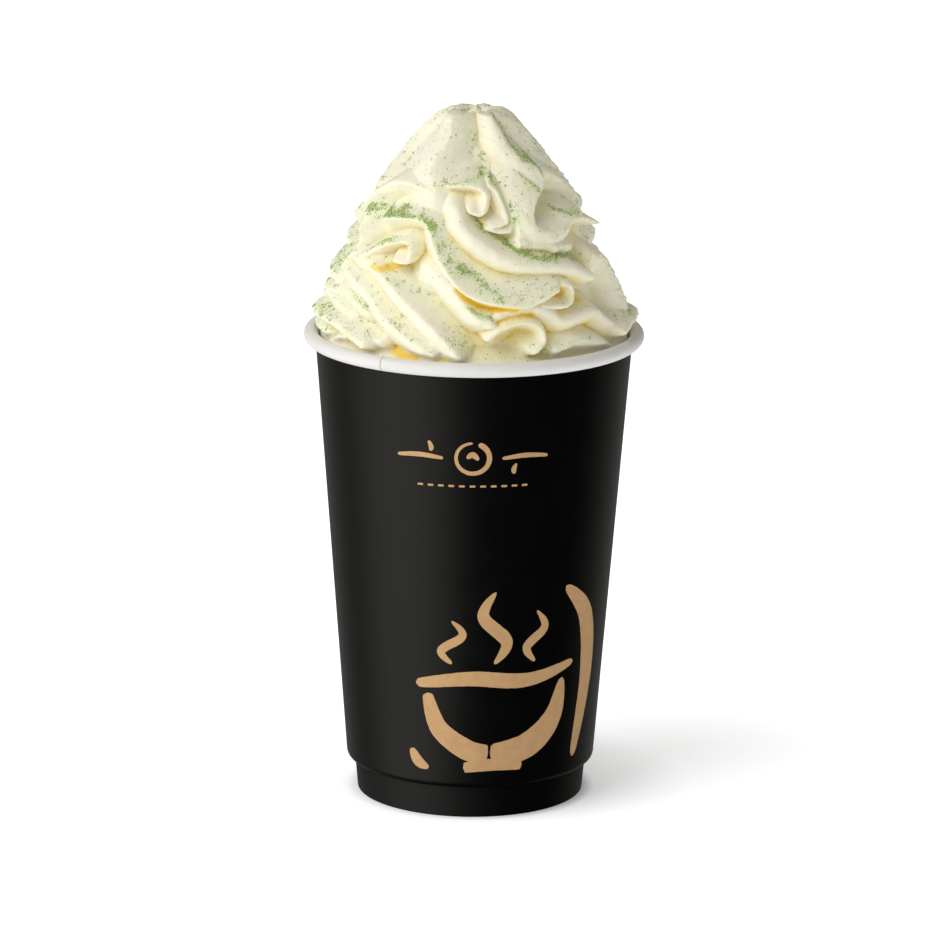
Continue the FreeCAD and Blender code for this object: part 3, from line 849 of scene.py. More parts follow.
@dataclass
class Swirl:
    """The mound of foam: its outline, its folds, and its finished surface.

    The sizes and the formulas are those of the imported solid, on a finer mesh.

    Attributes:
        cup_height: the top of the rolled rim above the floor, mm, as all of these are.
        mouth_radius: the inside of the rolled rim.
        neck_radius: the inside of the wall where the swirl is rooted, less a clearance.
        floor_height: the top of the cup's bottom disc.
        floor_radius: the inside of the wall there.
        height: the top of the swirl above the rim.
        spread: how far the swirl bulges past the cup's mouth.
        root: how far below the rim it is rooted in the drink.
        taper: reach, power and fullness of the outline's taper.
        depth: how far the core lies inside the mound's outline.
        cap: how far out a crest may reach, where 0 is the core and 1 is the outline.
        start: height from the rim at which the folds start.
        growth: height over which they, and the bulge, grow to full size.
        bulge_start: height from the rim at which the bulge starts.
        droop: degrees that the folds sag below level.
        crown: the radius inside which they turn up to the flat top, the degrees that they turn at
            its middle, and the share of the height at which it starts to flatten.
        room: depth of the folds near the tip, for each mm of radius and each square mm.
        blend: how softly two folds run into each other.
        edge: how blunt a fold's crest is.
        slope: how much the mound's side faces up, over how much it faces out.
        turn_over: how gradually one flank of a fold passes into the other at its crest.
        waxing: the power by which a fold rises from the core at its start.
        rough: the swirl's unevenness: (size of the lumps, height of the lumps) for each size.
        tatters: what a torn crest adds to it, likewise.
        torn_share: how far down its flanks a torn crest reaches.
        ragged: how rough every crest is, 0 to 1, above what its fold says.
        tip: radius of the middle of the flat top, where the rings end.
        drink: how far the drink's edge lies inside the mouth, and below the root.
        probes: how many ways each point looks to find how shut in it is.
        probe_reach: how far it looks.
        sky_ways: the ways up that it looks to find how open to the sky it is.
        sky_reach: how far it looks up.
        path_steps: points along each span of a fold's path.
        columns: points round the mesh.
        rows: rings of points, from the root to the top.
        leaf_degrees: the leaves of the peak that face away from the front.
        strand_levels: where strands of the piped spiral cross the back.
        strand_degrees: where round the swirl those start.
        finish: what it is made of.
    """

    cup_height: float
    mouth_radius: float
    neck_radius: float
    floor_height: float
    floor_radius: float
    height: float = 58.8
    spread: float = 1.6
    root: float = 6.0
    taper: tuple[float, float, float] = (1.085, 1.3, 0.62)
    depth: float = 7.5
    cap: float = 1.25
    start: float = -1.5
    growth: float = 2.6
    bulge_start: float = -1.0
    droop: float = 13.0
    crown: tuple[float, float, float] = (9.0, 70.0, 0.99)
    room: tuple[float, float] = (0.42, 0.02)
    blend: float = 0.3
    edge: float = 0.4
    slope: float = 0.5
    turn_over: float = 0.4
    waxing: float = 0.7
    rough: tuple[tuple[float, float], ...] = ((9.0, 0.5), (3.6, 0.3), (1.6, 0.2), (0.8, 0.12))
    tatters: tuple[tuple[float, float], ...] = ((1.1, 1.1), (0.5, 0.66))
    torn_share: float = 0.6
    ragged: float = 0.22
    tip: float = 0.3
    drink: tuple[float, float] = (0.8, 2.0)
    probes: int = 10
    probe_reach: float = 9.0
    sky_ways: tuple[tuple[float, float, float], ...] = ((0, 0, 1), (0.25, 0.1, 1), (-0.2, -0.2, 1))
    sky_reach: float = 60.0
    path_steps: int = 8
    columns: int = 600
    rows: int = 240
    leaf_degrees: tuple[float, ...] = (132, 172, 212, 250)
    strand_levels: tuple[float, ...] = (58, 45.5, 33, 20.5, 8)
    strand_degrees: tuple[float, ...] = (104, 184)
    finish: CheeseFoam = CheeseFoam()

    def back_folds(self) -> list[Fold]:
        """Make the folds that face away from the front: more leaves, and the spiral's strands.

        Returns:
            The folds, in the order that they are raised.
        """
        uneven = random.Random(4)
        folds = []
        for turn in self.leaf_degrees:
            sway = uneven.uniform(-5, 5)
            foot = uneven.uniform(60, 67)
            path = ((turn + sway, 96), (turn, 84), (turn + 4, 74), (turn + 16, foot))
            rise = uneven.uniform(7.4, 8.4)
            folds.append(Fold(path, rise, (5, 6), (8, 10), (0.9, 1.5), 0, (0.3, 0.3)))
        for strand, level in enumerate(self.strand_levels):
            for start in self.strand_degrees:
                first = start + uneven.uniform(-8, 8)
                sweep = uneven.uniform(95, 118)
                drop = uneven.uniform(14, 22)
                path = []
                for step in range(5):
                    share = step / 4
                    wave = 2.5 * math.sin(math.pi * (3 * share + strand))
                    path.append((first + sweep * share, level - drop * share**0.7 + wave))
                rise = uneven.uniform(8.6, 10.0)
                folds.append(Fold(tuple(path), rise, (4, 4), (8, 8), (1.1, 1.5), dust=(0.7, 0.4)))
        return folds

    def mound_radius(self, height: np.ndarray) -> np.ndarray:
        """Work out the radius of the mound's outline.

        Args:
            height: heights above the rim.

        Returns:
            The radius at each.
        """
        reach, power, fullness = self.taper
        share = np.maximum(height, 0) / (reach * self.height)
        taper = (self.mouth_radius + self.spread) * (1 - share**power) ** fullness
        swell = ease((np.asarray(height) - self.bulge_start) / self.growth)
        return self.neck_radius + (taper - self.neck_radius) * swell

    def outline(self) -> tuple[np.ndarray, np.ndarray]:
        """Lay evenly spaced points from the root up to the middle of the flat top.

        Returns:
            Their radii and their heights above the rim.
        """
        brow = self.crown[2] * self.height
        heights = np.linspace(-self.root, brow, 800)  # far finer than the rows
        radii = self.mound_radius(heights)
        turn = np.linspace(0, math.pi / 2, 80)[1:]
        heights = np.append(heights, brow + (self.height - brow) * np.sin(turn))
        radii = np.append(radii, np.maximum(radii[-1] * np.cos(turn), self.tip))
        lengths = np.append(0, np.cumsum(np.hypot(np.diff(radii), np.diff(heights))))
        goals = np.linspace(0, lengths[-1], self.rows)
        return np.interp(goals, lengths, radii), np.interp(goals, lengths, heights)

    def path_points(self, path: tuple[tuple[float, float], ...]) -> np.ndarray:
        """Run a Catmull-Rom curve through a fold's path and lay it on the mound.

        Args:
            path: its (degrees, level) pairs.

        Returns:
            The curve's points, one row each.
        """
        curve = smooth_path(path, self.path_steps)
        turn = np.radians(curve[:, 0])
        height = curve[:, 1] * self.height / 100
        radius = self.mound_radius(height)
        return np.stack([radius * np.sin(turn), -radius * np.cos(turn), height], 1)

    def grid(self) -> tuple[np.ndarray, np.ndarray, np.ndarray]:
        """Make the mound's outer surface before its folds are cut.

        Returns:
            The outline's radii, its heights, and the points of every ring.
        """
        radii, heights = self.outline()
        turn = np.linspace(0, 2 * math.pi, self.columns, endpoint=False)
        ring = np.stack([np.sin(turn), -np.cos(turn)], 1)
        points = np.empty((self.rows, self.columns, 3))
        points[:, :, :2] = radii[:, None, None] * ring[None]
        points[:, :, 2] = heights[:, None]
        return radii, heights, points

    def raise_fold(self, fold: Fold, points: np.ndarray, layers: dict[str, np.ndarray]) -> None:
        """Lift every point that a fold covers, and mark its dusted side and its torn crest.

        Args:
            fold: the fold.
            points: the mound's points, one row each.
            layers: per point, the lift so far, the dust and how ragged it is.
        """
        line = self.path_points(fold.path)
        numbers = points_beside(line, max(fold.above + fold.below), points)
        spans, shares, ways = closest_on(line, points[numbers])
        along = np.diff(line, axis=0)
        out = line[:-1].copy()
        out[:, 2] = self.slope * np.hypot(out[:, 0], out[:, 1])
        sides = np.cross(along, out)
        sides /= np.linalg.norm(sides, axis=1)[:, None]
        lengths = np.linalg.norm(along, axis=1)
        runs = np.append(0, np.cumsum(lengths))
        share = (runs[spans] + shares * lengths[spans]) / runs[-1]
        gap = np.linalg.norm(ways, axis=1)
        across = np.sum(ways * sides[spans], axis=1)
        soft = self.turn_over * gap + 0.01  # never nothing, so that the crest can be divided by it
        lower = 0.5 + 0.5 * np.clip(across / soft, -1, 1)
        width = between((between(fold.above, share), between(fold.below, share)), lower)
        form = between(fold.form, lower)
        ratio = np.clip((np.hypot(gap, self.edge) - self.edge) / width, 0, 1)
        flank = np.where(form > 1, 1 - ratio**form, (1 - ratio) ** (1 / np.minimum(form, 1)))
        grown = ease(share / fold.fade) ** self.waxing if fold.fade else 1.0
        lift = fold.rise * flank * grown
        old = layers["lift"][numbers]
        mix = np.clip(0.5 + 0.5 * (lift - old) / self.blend, 0, 1) * (ratio < 1)
        layers["lift"][numbers] = old + (lift - old) * mix + self.blend * mix * (1 - mix)
        dust = between(fold.dust, lower)
        layers["dust"][numbers] = layers["dust"][numbers] * (1 - mix) + dust * mix
        torn = np.clip(1 - ratio / self.torn_share, 0, 1) * (self.ragged + fold.torn)
        layers["torn"][numbers] = layers["torn"][numbers] * (1 - mix) + torn * mix

    def lay_streak(self, streak: Streak, points: np.ndarray, layer: np.ndarray) -> None:
        """Add a streak to the points that it runs past.

        Args:
            streak: the streak.
            points: the mound's points, one row each.
            layer: how much powder, or caught light, each point has so far.
        """
        line = self.path_points(streak.path)
        numbers = points_beside(line, STREAK_REACH * streak.half_width, points)
        _, _, ways = closest_on(line, points[numbers])
        gap = np.linalg.norm(ways, axis=1)
        layer[numbers] += streak.thick * np.exp(-((gap / streak.half_width) ** 2))

    def lean(self, radii: np.ndarray) -> np.ndarray:
        """Work out how steeply the folds stand out from the mound.

        Args:
            radii: radii of the mound's outline.

        Returns:
            The angle below level at each, in radians.
        """
        crown_radius, crown_tilt, _ = self.crown
        sag = self.droop * ease(radii / crown_radius - 1)
        return np.radians(sag - crown_tilt * ease(1 - radii / crown_radius))

    def roughen(self, points: np.ndarray, layers: dict[str, np.ndarray]) -> None:
        """Add the lumps of whipped foam, and the torn crests, to the points' lift.

        Args:
            points: the mound's points, one row each.
            layers: per point, the lift so far and how ragged it is.
        """
        for number, point in enumerate(points):
            place = Vector(point)
            lift = sum(height * noise.noise(place / lump) for lump, height in self.rough)
            torn = layers["torn"][number]
            if torn > 0:
                lift += torn * sum(
                    height * noise.noise(place / lump) for lump, height in self.tatters
                )
            layers["lift"][number] += lift

    def surface(self) -> tuple[np.ndarray, dict[str, np.ndarray]]:
        """Work out the folded surface.

        Returns:
            The points, ring by ring from the root to the top, and the layers of each point.
        """
        radii, heights, points = self.grid()
        flat = points.reshape(-1, 3)
        layers = {name: np.zeros(len(flat)) for name in ("lift", "dust", "torn", "deep")}
        for fold in list(FRONT_FOLDS) + self.back_folds():
            self.raise_fold(fold, flat, layers)
        for streak in STREAKS:
            self.lay_streak(streak, flat, layers["dust"])
        for streak in DEEP_FOLDS:
            self.lay_streak(streak, flat, layers["deep"])
        self.roughen(flat, layers)
        room = self.room[0] * radii + self.room[1] * radii**2
        depth = np.minimum(self.depth, room) * ease((heights - self.start) / self.growth)
        lean = self.lean(radii)
        lift = layers["lift"].reshape(self.rows, self.columns)
        sunk = depth[:, None] * (1 - np.minimum(lift / FULL_RISE, self.cap))
        scale = 1 - sunk * (np.cos(lean) / radii)[:, None]
        points[:, :, :2] *= scale[:, :, None]
        points[:, :, 2] += sunk * np.sin(lean)[:, None] + self.cup_height
        return points.reshape(-1, 3), layers

    def hollowness(self, piece: bpy.types.Object) -> tuple[np.ndarray, np.ndarray]:
        """Find how shut in each point is, and how open to the sky.

        Args:
            piece: the finished mesh.

        Returns:
            Two shares from 0 to 1 for each vertex: shut in, and open upwards.
        """
        mesh = piece.data
        tree = BVHTree.FromPolygons(
            [v.co for v in mesh.vertices], [tuple(p.vertices) for p in mesh.polygons]
        )
        golden = math.pi * (3 - math.sqrt(5))  # the turn that spreads the rays evenly
        rays = []
        for step in range(self.probes):
            up = 1 - (step + 0.5) / self.probes
            flat = math.sqrt(1 - up * up)
            spin = golden * step
            rays.append(Vector((flat * math.cos(spin), flat * math.sin(spin), up)))
        shut = np.zeros(len(mesh.vertices))
        sky = np.zeros(len(mesh.vertices))
        up_rays = [Vector(way) for way in self.sky_ways]
        reach, far = self.probe_reach * MM, self.sky_reach * MM
        for vertex in mesh.vertices:
            normal = vertex.normal
            if normal.length == 0:
                continue
            turn = Vector((0, 0, 1)).rotation_difference(normal)
            origin = vertex.co + normal * 0.05 * MM  # clear of its own faces
            hits = sum(tree.ray_cast(origin, turn @ ray, reach)[0] is not None for ray in rays)
            shut[vertex.index] = hits / len(rays)
            if normal.z > 0:
                free = sum(tree.ray_cast(origin, ray, far)[0] is None for ray in up_rays)
                sky[vertex.index] = free / len(up_rays)
        return shut, sky

    def build(self) -> bpy.types.Object:
        """Make the foam and the drink under it as one closed piece.

        Returns:
            The piece, with the layers that its material and the powder read.
        """
        points, layers = self.surface()
        columns = self.columns
        turn = np.linspace(0, 2 * math.pi, columns, endpoint=False)
        ring = np.stack([np.sin(turn), -np.cos(turn), np.zeros(columns)], 1)
        inset, drop = self.drink
        bottom = ring * self.floor_radius + [0, 0, self.floor_height]
        brim = ring * (self.mouth_radius - inset) + [0, 0, self.cup_height - self.root - drop]
        points = np.vstack([bottom, brim, points])
        rings = len(points) // columns
        faces = ring_faces(rings, columns).tolist()
        last = (rings - 1) * columns
        crown = points[last:].mean(0)
        points = np.vstack([points, [[0, 0, self.floor_height]], [crown]])
        floor, top = len(points) - 2, len(points) - 1
        for column in range(columns):
            after = (column + 1) % columns
            faces.append([floor, after, column])
            faces.append([top, last + column, last + after])
        piece = new_piece("foam_swirl", points, faces, self.finish.build())
        shut, sky = self.hollowness(piece)
        dust, deep = (
            np.concatenate([np.zeros(2 * columns), layers[name], [0, 0]])
            for name in ("dust", "deep")
        )
        # painted bounce light and shade: how shut in each point is, with the caught-light streaks
        # added
        set_attribute(piece, "hollow", np.clip(shut + deep, 0, 1))
        set_attribute(piece, "dust", dust)
        set_attribute(piece, "sky", sky)
        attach(piece, "root")
        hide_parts("cheese_foam")
        return piece


# ---------------------------------------------------------------- powder


@dataclass
class PowderDusting:
    """Green tea powder shaken over the foam: clumps that lie where the foam faces up.

    Attributes:
        grains: how many clumps there are.
        small_mm: the smallest clump.
        large_mm: the largest, of which there are few.
        uneven: how far a clump's corners stray, as a share of its size.
        perch: how far its middle lies over the foam, likewise.
        patches: how unevenly it was shaken: (size of the patches in mm, weight) for each size.
        patchy: the patches' mean density and its swing.
        sharp: the power that sharpens the patches' borders.
        sparse: the least and the most that a patch may hold before that.
        even_from: the thickness from which a streak hides the patches.
        even: how well it hides them, 0 to 1.
        grip: how far a face may turn down and still hold powder.
        hidden: what falls where no sky is seen.
        stray: what falls where the swirl's layers have none.
        gather: the power by which powder gathers where there is more.
        seed: which scatter it is.
        finish: what it is made of.
    """

    grains: int = 15000
    small_mm: float = 0.2
    large_mm: float = 0.62
    uneven: float = 0.35
    perch: float = 0.15
    patches: tuple[tuple[float, float], ...] = ((9.0, 0.7), (3.0, 0.9), (1.1, 1.0))
    patchy: tuple[float, float] = (0.35, 1.3)
    sharp: float = 1.5
    sparse: tuple[float, float] = (0.02, 2.0)
    even_from: float = 1.6
    even: float = 0.75
    grip: float = 0.45
    hidden: float = 0.3
    stray: float = 0.03
    gather: float = 1.25
    seed: int = 11
    finish: GreenTeaPowder = GreenTeaPowder()

    def chances(self, foam: bpy.types.Object) -> np.ndarray:
        """Find how likely a grain is to lie on each face of the foam.

        Args:
            foam: the foam, with its layers.

        Returns:
            A weight for each face.
        """
        mesh = foam.data
        count = len(mesh.polygons)
        areas = np.empty(count)
        normals = np.empty(count * 3)
        centres = np.empty(count * 3)
        mesh.polygons.foreach_get("area", areas)
        mesh.polygons.foreach_get("normal", normals)
        mesh.polygons.foreach_get("center", centres)
        normals = normals.reshape(-1, 3)
        centres = centres.reshape(-1, 3) / MM
        values = {}
        for name in ("dust", "sky"):
            layer = np.empty(len(mesh.vertices), dtype=np.float32)
            mesh.attributes[name].data.foreach_get("value", layer)
            values[name] = np.array([layer[p.vertices[0]] for p in mesh.polygons])
        patch = np.array([
            sum(weight * noise.noise(Vector(c) / size) for size, weight in self.patches)
            for c in centres
        ])
        mean, swing = self.patchy
        patch = np.clip(mean + swing * patch, *self.sparse) ** self.sharp
        patch += self.even * (1 - patch) * np.clip(values["dust"] - self.even_from, 0, 1)
        facing = np.clip(normals[:, 2] + self.grip, 0, 1)
        layer = self.stray + values["dust"] ** self.gather
        return areas * (self.hidden + values["sky"]) * facing * patch * layer

    def build(self, foam: bpy.types.Object) -> bpy.types.Object:
        """Scatter the grains.

        Args:
            foam: the foam that they lie on.

        Returns:
            One piece of many small closed clumps.
        """
        dice = np.random.default_rng(self.seed)
        mesh = foam.data
        chance = self.chances(foam)
        picks = dice.choice(len(chance), self.grains, p=chance / chance.sum())
        spots = np.empty((self.grains, 3))
        normals = np.empty((self.grains, 3))
        for number, pick in enumerate(picks):
            face = mesh.polygons[pick]
            corners = np.array([mesh.vertices[v].co for v in face.vertices]) / MM
            weights = dice.dirichlet(np.ones(len(corners)))
            spots[number] = weights @ corners
            normals[number] = face.normal
        sizes = self.small_mm + (self.large_mm - self.small_mm) * dice.random(self.grains) ** 3
        spin = dice.random(self.grains) * 2 * math.pi
        shape = np.array([  # a clump one across: four corners round it, one over and one under
            [1, 0, 0], [0.2, 0.8, 0.05], [-0.9, 0.25, 0], [-0.1, -0.75, -0.05],
            [0.05, 0.05, 0.55], [0, 0, -0.5],
        ]) / 2
        helper = np.where(np.abs(normals[:, 2:3]) < 0.9, [[0, 0, 1.0]], [[1.0, 0, 0]])
        side = np.cross(helper, normals)
        side /= np.linalg.norm(side, axis=1)[:, None]
        over = np.cross(normals, side)
        first = np.cos(spin)[:, None] * side + np.sin(spin)[:, None] * over
        second = np.cross(normals, first)
        jitter = 1 + self.uneven * (dice.random((self.grains, len(shape), 3)) - 0.5)
        local = shape[None] * jitter * sizes[:, None, None]
        points = (
            spots[:, None]
            + local[:, :, 0:1] * first[:, None]
            + local[:, :, 1:2] * second[:, None]
            + local[:, :, 2:3] * normals[:, None]
            + self.perch * sizes[:, None, None] * normals[:, None]
        )
        sides = np.array([
            [0, 1, 4], [1, 2, 4], [2, 3, 4], [3, 0, 4], [1, 0, 5], [2, 1, 5], [3, 2, 5], [0, 3, 5],
        ])
        faces = (np.arange(self.grains)[:, None, None] * len(shape) + sides[None]).reshape(-1, 3)
        piece = new_piece("tea_powder", points.reshape(-1, 3), faces, self.finish.build())
        set_attribute(piece, "shade", np.repeat(dice.random(self.grains), len(shape)))
        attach(piece, "root")
        return piece


# ---------------------------------------------------------------- cup


TOP_RING = 1.0  # how far below the sleeve's top its topmost corners may lie, mm
STEAM_FOOT = 43.5  # where the printed curls of steam start, mm over the floor


@dataclass(frozen=True)
class ConeWall:
    """The outside of the sleeve, a cone that widens upwards: two heights and their radii, mm."""

    low: tuple[float, float]
    high: tuple[float, float]

    @classmethod
    def of_node(cls, node: bpy.types.Object) -> "ConeWall":
        """Read the cone from a node's top ring and from one half way down.

        Args:
            node: the sleeve.

        Returns:
            The cone.
        """
        spots = np.array([(v.co.z, math.hypot(v.co.x, v.co.y)) for v in node.data.vertices]) / MM
        top = spots[:, 0].max()
        middle = (top + spots[:, 0].min()) / 2
        rings = (spots[spots[:, 0] < middle], spots[spots[:, 0] > top - TOP_RING])
        low, high = (ring[ring[:, 1].argmax()] for ring in rings)
        return cls(tuple(low), tuple(high))

    def radius(self, height: np.ndarray | float) -> np.ndarray | float:
        """Give the cone's radius at a height."""
        slope = (self.high[1] - self.low[1]) / (self.high[0] - self.low[0])
        return self.low[1] + slope * (height - self.low[0])


@dataclass(frozen=True)
class Stroke:
    """One stroke of a flat brush round the sleeve.

    Attributes:
        path: (degrees, height) pairs: degrees round from the front towards +X, mm over the floor.
        widths: the stroke's width at its start, its middle and its end, mm.
        dry: how ragged its edges are, mm.
    """

    path: tuple[tuple[float, float], ...]
    widths: tuple[float, float, float]
    dry: float = 0.1


def wavy_steam(foot: float, height: float, sway: float, full: float) -> Stroke:
    """Make one rising curl of steam.

    Args:
        foot: where it starts, in degrees round from the front.
        height: how far it rises, mm.
        sway: how far it swings to either side, in degrees.
        full: how wide it is half way up, mm.

    Returns:
        The stroke.
    """
    swings = ((0, 0), (-1, 0.3), (1, 0.66), (0, 1))
    path = tuple((foot + side * sway, STEAM_FOOT + share * height) for side, share in swings)
    return Stroke(path, (0.6, full, 0.4))


LARGE_PRINT = (
    # a tea bowl in a few strokes: its mouth, its body, its foot and its saucer
    Stroke(((-24, 37.5), (0, 39.5), (25, 38.5), (49, 41.5)), (2.2, 4.2, 1.6)),
    Stroke(((-19, 35), (-14, 25.5), (-1, 19.5), (8, 18.6)), (2.4, 5.6, 4.6)),
    Stroke(((43, 37.5), (39, 27), (26, 20), (9, 18.4)), (1.2, 7.2, 4.8)),
    Stroke(((-3, 14.6), (10, 15.4), (24, 14.8)), (2.6, 3.4, 2.4)),
    # the steam over it, and a sweep of the brush round its right
    wavy_steam(-8, 12, 4.5, 2.4),
    wavy_steam(10, 20, -5, 3.6),
    wavy_steam(28, 14, 4, 2.6),
    Stroke(((42, 63), (56, 53), (60, 36), (54, 14)), (1.4, 6.4, 2.0)),
    Stroke(((-27, 19), (-24, 15.6), (-19, 14)), (1.0, 3.0, 0.6)),
)

SMALL_PRINT = (
    # a ring between tapering bars and drops, over a fine rule
    Stroke(
        tuple((6.2 * math.sin(turn), 100.2 + 4.1 * math.cos(turn)) for turn in
              np.radians(np.arange(20, 361, 20))),
        (1.5, 1.1, 0.7), 0.04,
    ),
    Stroke(((-29, 100.2), (-20, 100.7), (-11, 100.1)), (0.7, 1.3, 0.7), 0.05),
    Stroke(((11, 100.1), (20, 100.7), (29, 100.2)), (0.7, 1.3, 0.7), 0.05),
    Stroke(((-16.5, 104.6), (-15.5, 103), (-16, 101.9)), (0.5, 1.3, 0.4), 0.05),
    Stroke(((16.5, 98.6), (15.5, 97), (16, 95.9)), (0.4, 1.3, 0.5), 0.05),
    Stroke(((-2.2, 100.2), (0, 101.2), (2.2, 99.8)), (0.4, 1.6, 0.5), 0.05),
) + tuple(
    Stroke(((turn - 1.1, 92.6), (turn + 1.1, 92.6)), (0.55, 0.55, 0.55), 0.0)
    for turn in range(-20, 21, 4)
)


@dataclass
class Print:
    """Ink on the sleeve: each stroke a thin slab that hugs the cone.

    Attributes:
        wall: the sleeve's outside.
        proud_mm: how far the first stroke stands off it.
        layer_mm: how far each stroke stands over the one before.
        sunk_mm: how far the slabs reach into the sleeve.
        across: points across a stroke.
        steps: points along each span of its path.
        blunt: the share of its length over which each end closes.
        tear_mm: the size of the notches in a dry edge.
        finish: the ink.
    """

    wall: ConeWall
    proud_mm: float = 0.03
    layer_mm: float = 0.004
    sunk_mm: float = 0.06
    across: int = 9
    steps: int = 14
    blunt: float = 0.03
    tear_mm: float = 1.3
    finish: BronzeInk = BronzeInk()

    def slab(self, stroke: Stroke, proud: float, seed: int) -> tuple[np.ndarray, list]:
        """Make one stroke.

        Args:
            stroke: the stroke.
            proud: how far its face stands off the sleeve, mm.
            seed: which raggedness it gets.

        Returns:
            Its points, and its faces by vertex number.
        """
        roll = self.wall.radius(np.mean([height for _, height in stroke.path]))
        flat = [(math.radians(turn) * roll, height) for turn, height in stroke.path]
        line = smooth_path(flat, self.steps)
        share = np.linspace(0, 1, len(line))[:, None]
        start, middle, end = stroke.widths
        width = start + (4 * middle - 3 * start - end) * share
        width += (2 * start + 2 * end - 4 * middle) * share**2
        blunt = np.sqrt(np.clip(np.minimum(share, 1 - share) / self.blunt, 0.02, 1))
        along = np.gradient(line, axis=0)
        along /= np.linalg.norm(along, axis=1)[:, None]
        side = np.stack([-along[:, 1], along[:, 0]], 1)
        spread = np.linspace(-0.5, 0.5, self.across)[None, :]
        rough = stroke.dry * np.array([
            [noise.noise(Vector((*spot / self.tear_mm, seed + edge))) for edge in (0, 9)]
            for spot in line
        ])
        torn = np.where(spread < 0, rough[:, :1], rough[:, 1:]) * spread * 2
        reach = spread * width * blunt + torn
        places = line[:, None] + side[:, None] * reach[:, :, None]
        layers = []
        for off, order in ((proud, 1), (-self.sunk_mm, -1)):
            layer = places[:, ::order]
            radius = self.wall.radius(layer[:, :, 1]) + off
            turn = layer[:, :, 0] / roll
            layers.append(np.stack(
                [radius * np.sin(turn), -radius * np.cos(turn), layer[:, :, 1]], 2
            ))
        rings = np.concatenate(layers, axis=1)
        rows, columns = rings.shape[:2]
        faces = ring_faces(rows, columns).tolist()
        half = columns // 2
        for first in (0, (rows - 1) * columns):
            for step in range(half - 1):
                near, far = first + step, first + columns - 1 - step
                faces.append([near, near + 1, far - 1, far])
        return rings.reshape(-1, 3), faces

    def build(self, name: str, strokes: tuple[Stroke, ...]) -> bpy.types.Object:
        """Print a design.

        Args:
            name: the piece's name.
            strokes: its strokes, in the order that they are laid down.

        Returns:
            The piece.
        """
        points, faces = [], []
        count = 0
        for number, stroke in enumerate(strokes):
            spots, sides = self.slab(stroke, self.proud_mm + self.layer_mm * number, number)
            faces += [[corner + count for corner in face] for face in sides]
            points.append(spots)
            count += len(spots)
        piece = new_piece(name, np.vstack(points), faces, self.finish.build(), smooth=False)
        face_outwards(piece)
        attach(piece, "root")
        return piece


@dataclass
class PaperCup:
    """The paper cup: coats its nodes, and adds the edges where its papers lap.

    Attributes:
        nodes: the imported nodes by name.
        rim_radius: the outside of the rolled rim, mm, as all lengths here are.
        cup_height: its top above the floor.
        curl: the radius of its roll.
        seam_degrees: where round the rim the wall's lap shows.
        seam_width: how wide the lap's cut edge is.
        seam_bend: from where to where it runs over the roll, in degrees up from level, by step.
        seam_depth: how far it stands off the roll, and how far it reaches in.
        lap_degrees: where round the sleeve its board laps over itself.
        lap_width: how wide that band is.
        lap_paper: how thick.
        lap_ends: how far it stays short of the sleeve's foot and of its top.
    """

    nodes: dict[str, bpy.types.Object]
    rim_radius: float
    cup_height: float
    curl: float
    seam_degrees: float = -32.5
    seam_width: float = 0.22
    seam_bend: tuple[int, int, int] = (-70, 131, 8)
    seam_depth: tuple[float, float] = (0.04, 0.12)
    lap_degrees: float = -158.0
    lap_width: float = 7.0
    lap_paper: float = 0.3
    lap_ends: tuple[float, float] = (2.0, 0.1)

    def coat(self) -> None:
        """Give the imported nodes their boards."""
        white = Paperboard("white_cup_board_coated", Coat.WHITE, Coat.BLACK)
        plain = Paperboard("white_cup_board_plain", Coat.WHITE)
        black = Paperboard("black_cup_board_printed", Coat.BLACK)
        for name, board in (("cup_wall", white), ("cup_base", plain), ("sleeve", black)):
            self.nodes[name].data.materials.clear()
            self.nodes[name].data.materials.append(board.build())
            LOG.info("coated %s", name)

    def rim_seam(self) -> bpy.types.Object:
        """Make the cut edge of the wall's lap where it runs over the rolled rim.

        Returns:
            The piece, a thin closed strip.
        """
        turn = math.radians(self.seam_degrees)
        out = np.array([math.sin(turn), -math.cos(turn), 0])
        side = np.array([math.cos(turn), math.sin(turn), 0])
        rings = []
        proud, sunk = self.seam_depth
        for bend in np.radians(np.arange(*self.seam_bend)):
            for reach, across in ((proud, -0.5), (proud, 0.5), (-sunk, 0.5), (-sunk, -0.5)):
                section = self.curl + reach
                radius = self.rim_radius - self.curl + section * math.cos(bend)
                height = self.cup_height - self.curl + section * math.sin(bend)
                rings.append(out * radius + side * across * self.seam_width + [0, 0, height])
        rows = len(rings) // 4
        faces = ring_faces(rows, 4).tolist() + [[0, 1, 2, 3]]
        faces.append([4 * rows - 1, 4 * rows - 2, 4 * rows - 3, 4 * rows - 4])
        piece = new_piece("rim_seam", np.array(rings), faces, CutBoard().build())
        face_outwards(piece)
        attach(piece, "root")
        return piece

    def sleeve_lap(self, wall: ConeWall) -> bpy.types.Object:
        """Make the band where the sleeve's board laps over itself at the back.

        Args:
            wall: the sleeve's outside.

        Returns:
            The piece, a closed slab.
        """
        corners = self.nodes["sleeve"].data.vertices
        low = min(v.co.z for v in corners) / MM + self.lap_ends[0]
        high = max(v.co.z for v in corners) / MM - self.lap_ends[1]
        band = Stroke(((self.lap_degrees, low), (self.lap_degrees, high)), (self.lap_width,) * 3, 0)
        points, faces = Print(wall).slab(band, self.lap_paper, 0)
        board = Paperboard("black_cup_board_lapped", Coat.BLACK)
        piece = new_piece("sleeve_lap", points, faces, board.build(), smooth=False)
        face_outwards(piece)
        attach(piece, "root")
        return piece

    def build(self) -> list[bpy.types.Object]:
        """Coat the nodes and make the laps and the prints.

        Returns:
            The new pieces.
        """
        self.coat()
        wall = ConeWall.of_node(self.nodes["sleeve"])
        ink = Print(wall)
        return [
            self.rim_seam(),
            self.sleeve_lap(wall),
            ink.build("print_large", LARGE_PRINT),
            ink.build("print_small", SMALL_PRINT),
        ]


# ---------------------------------------------------------------- studio


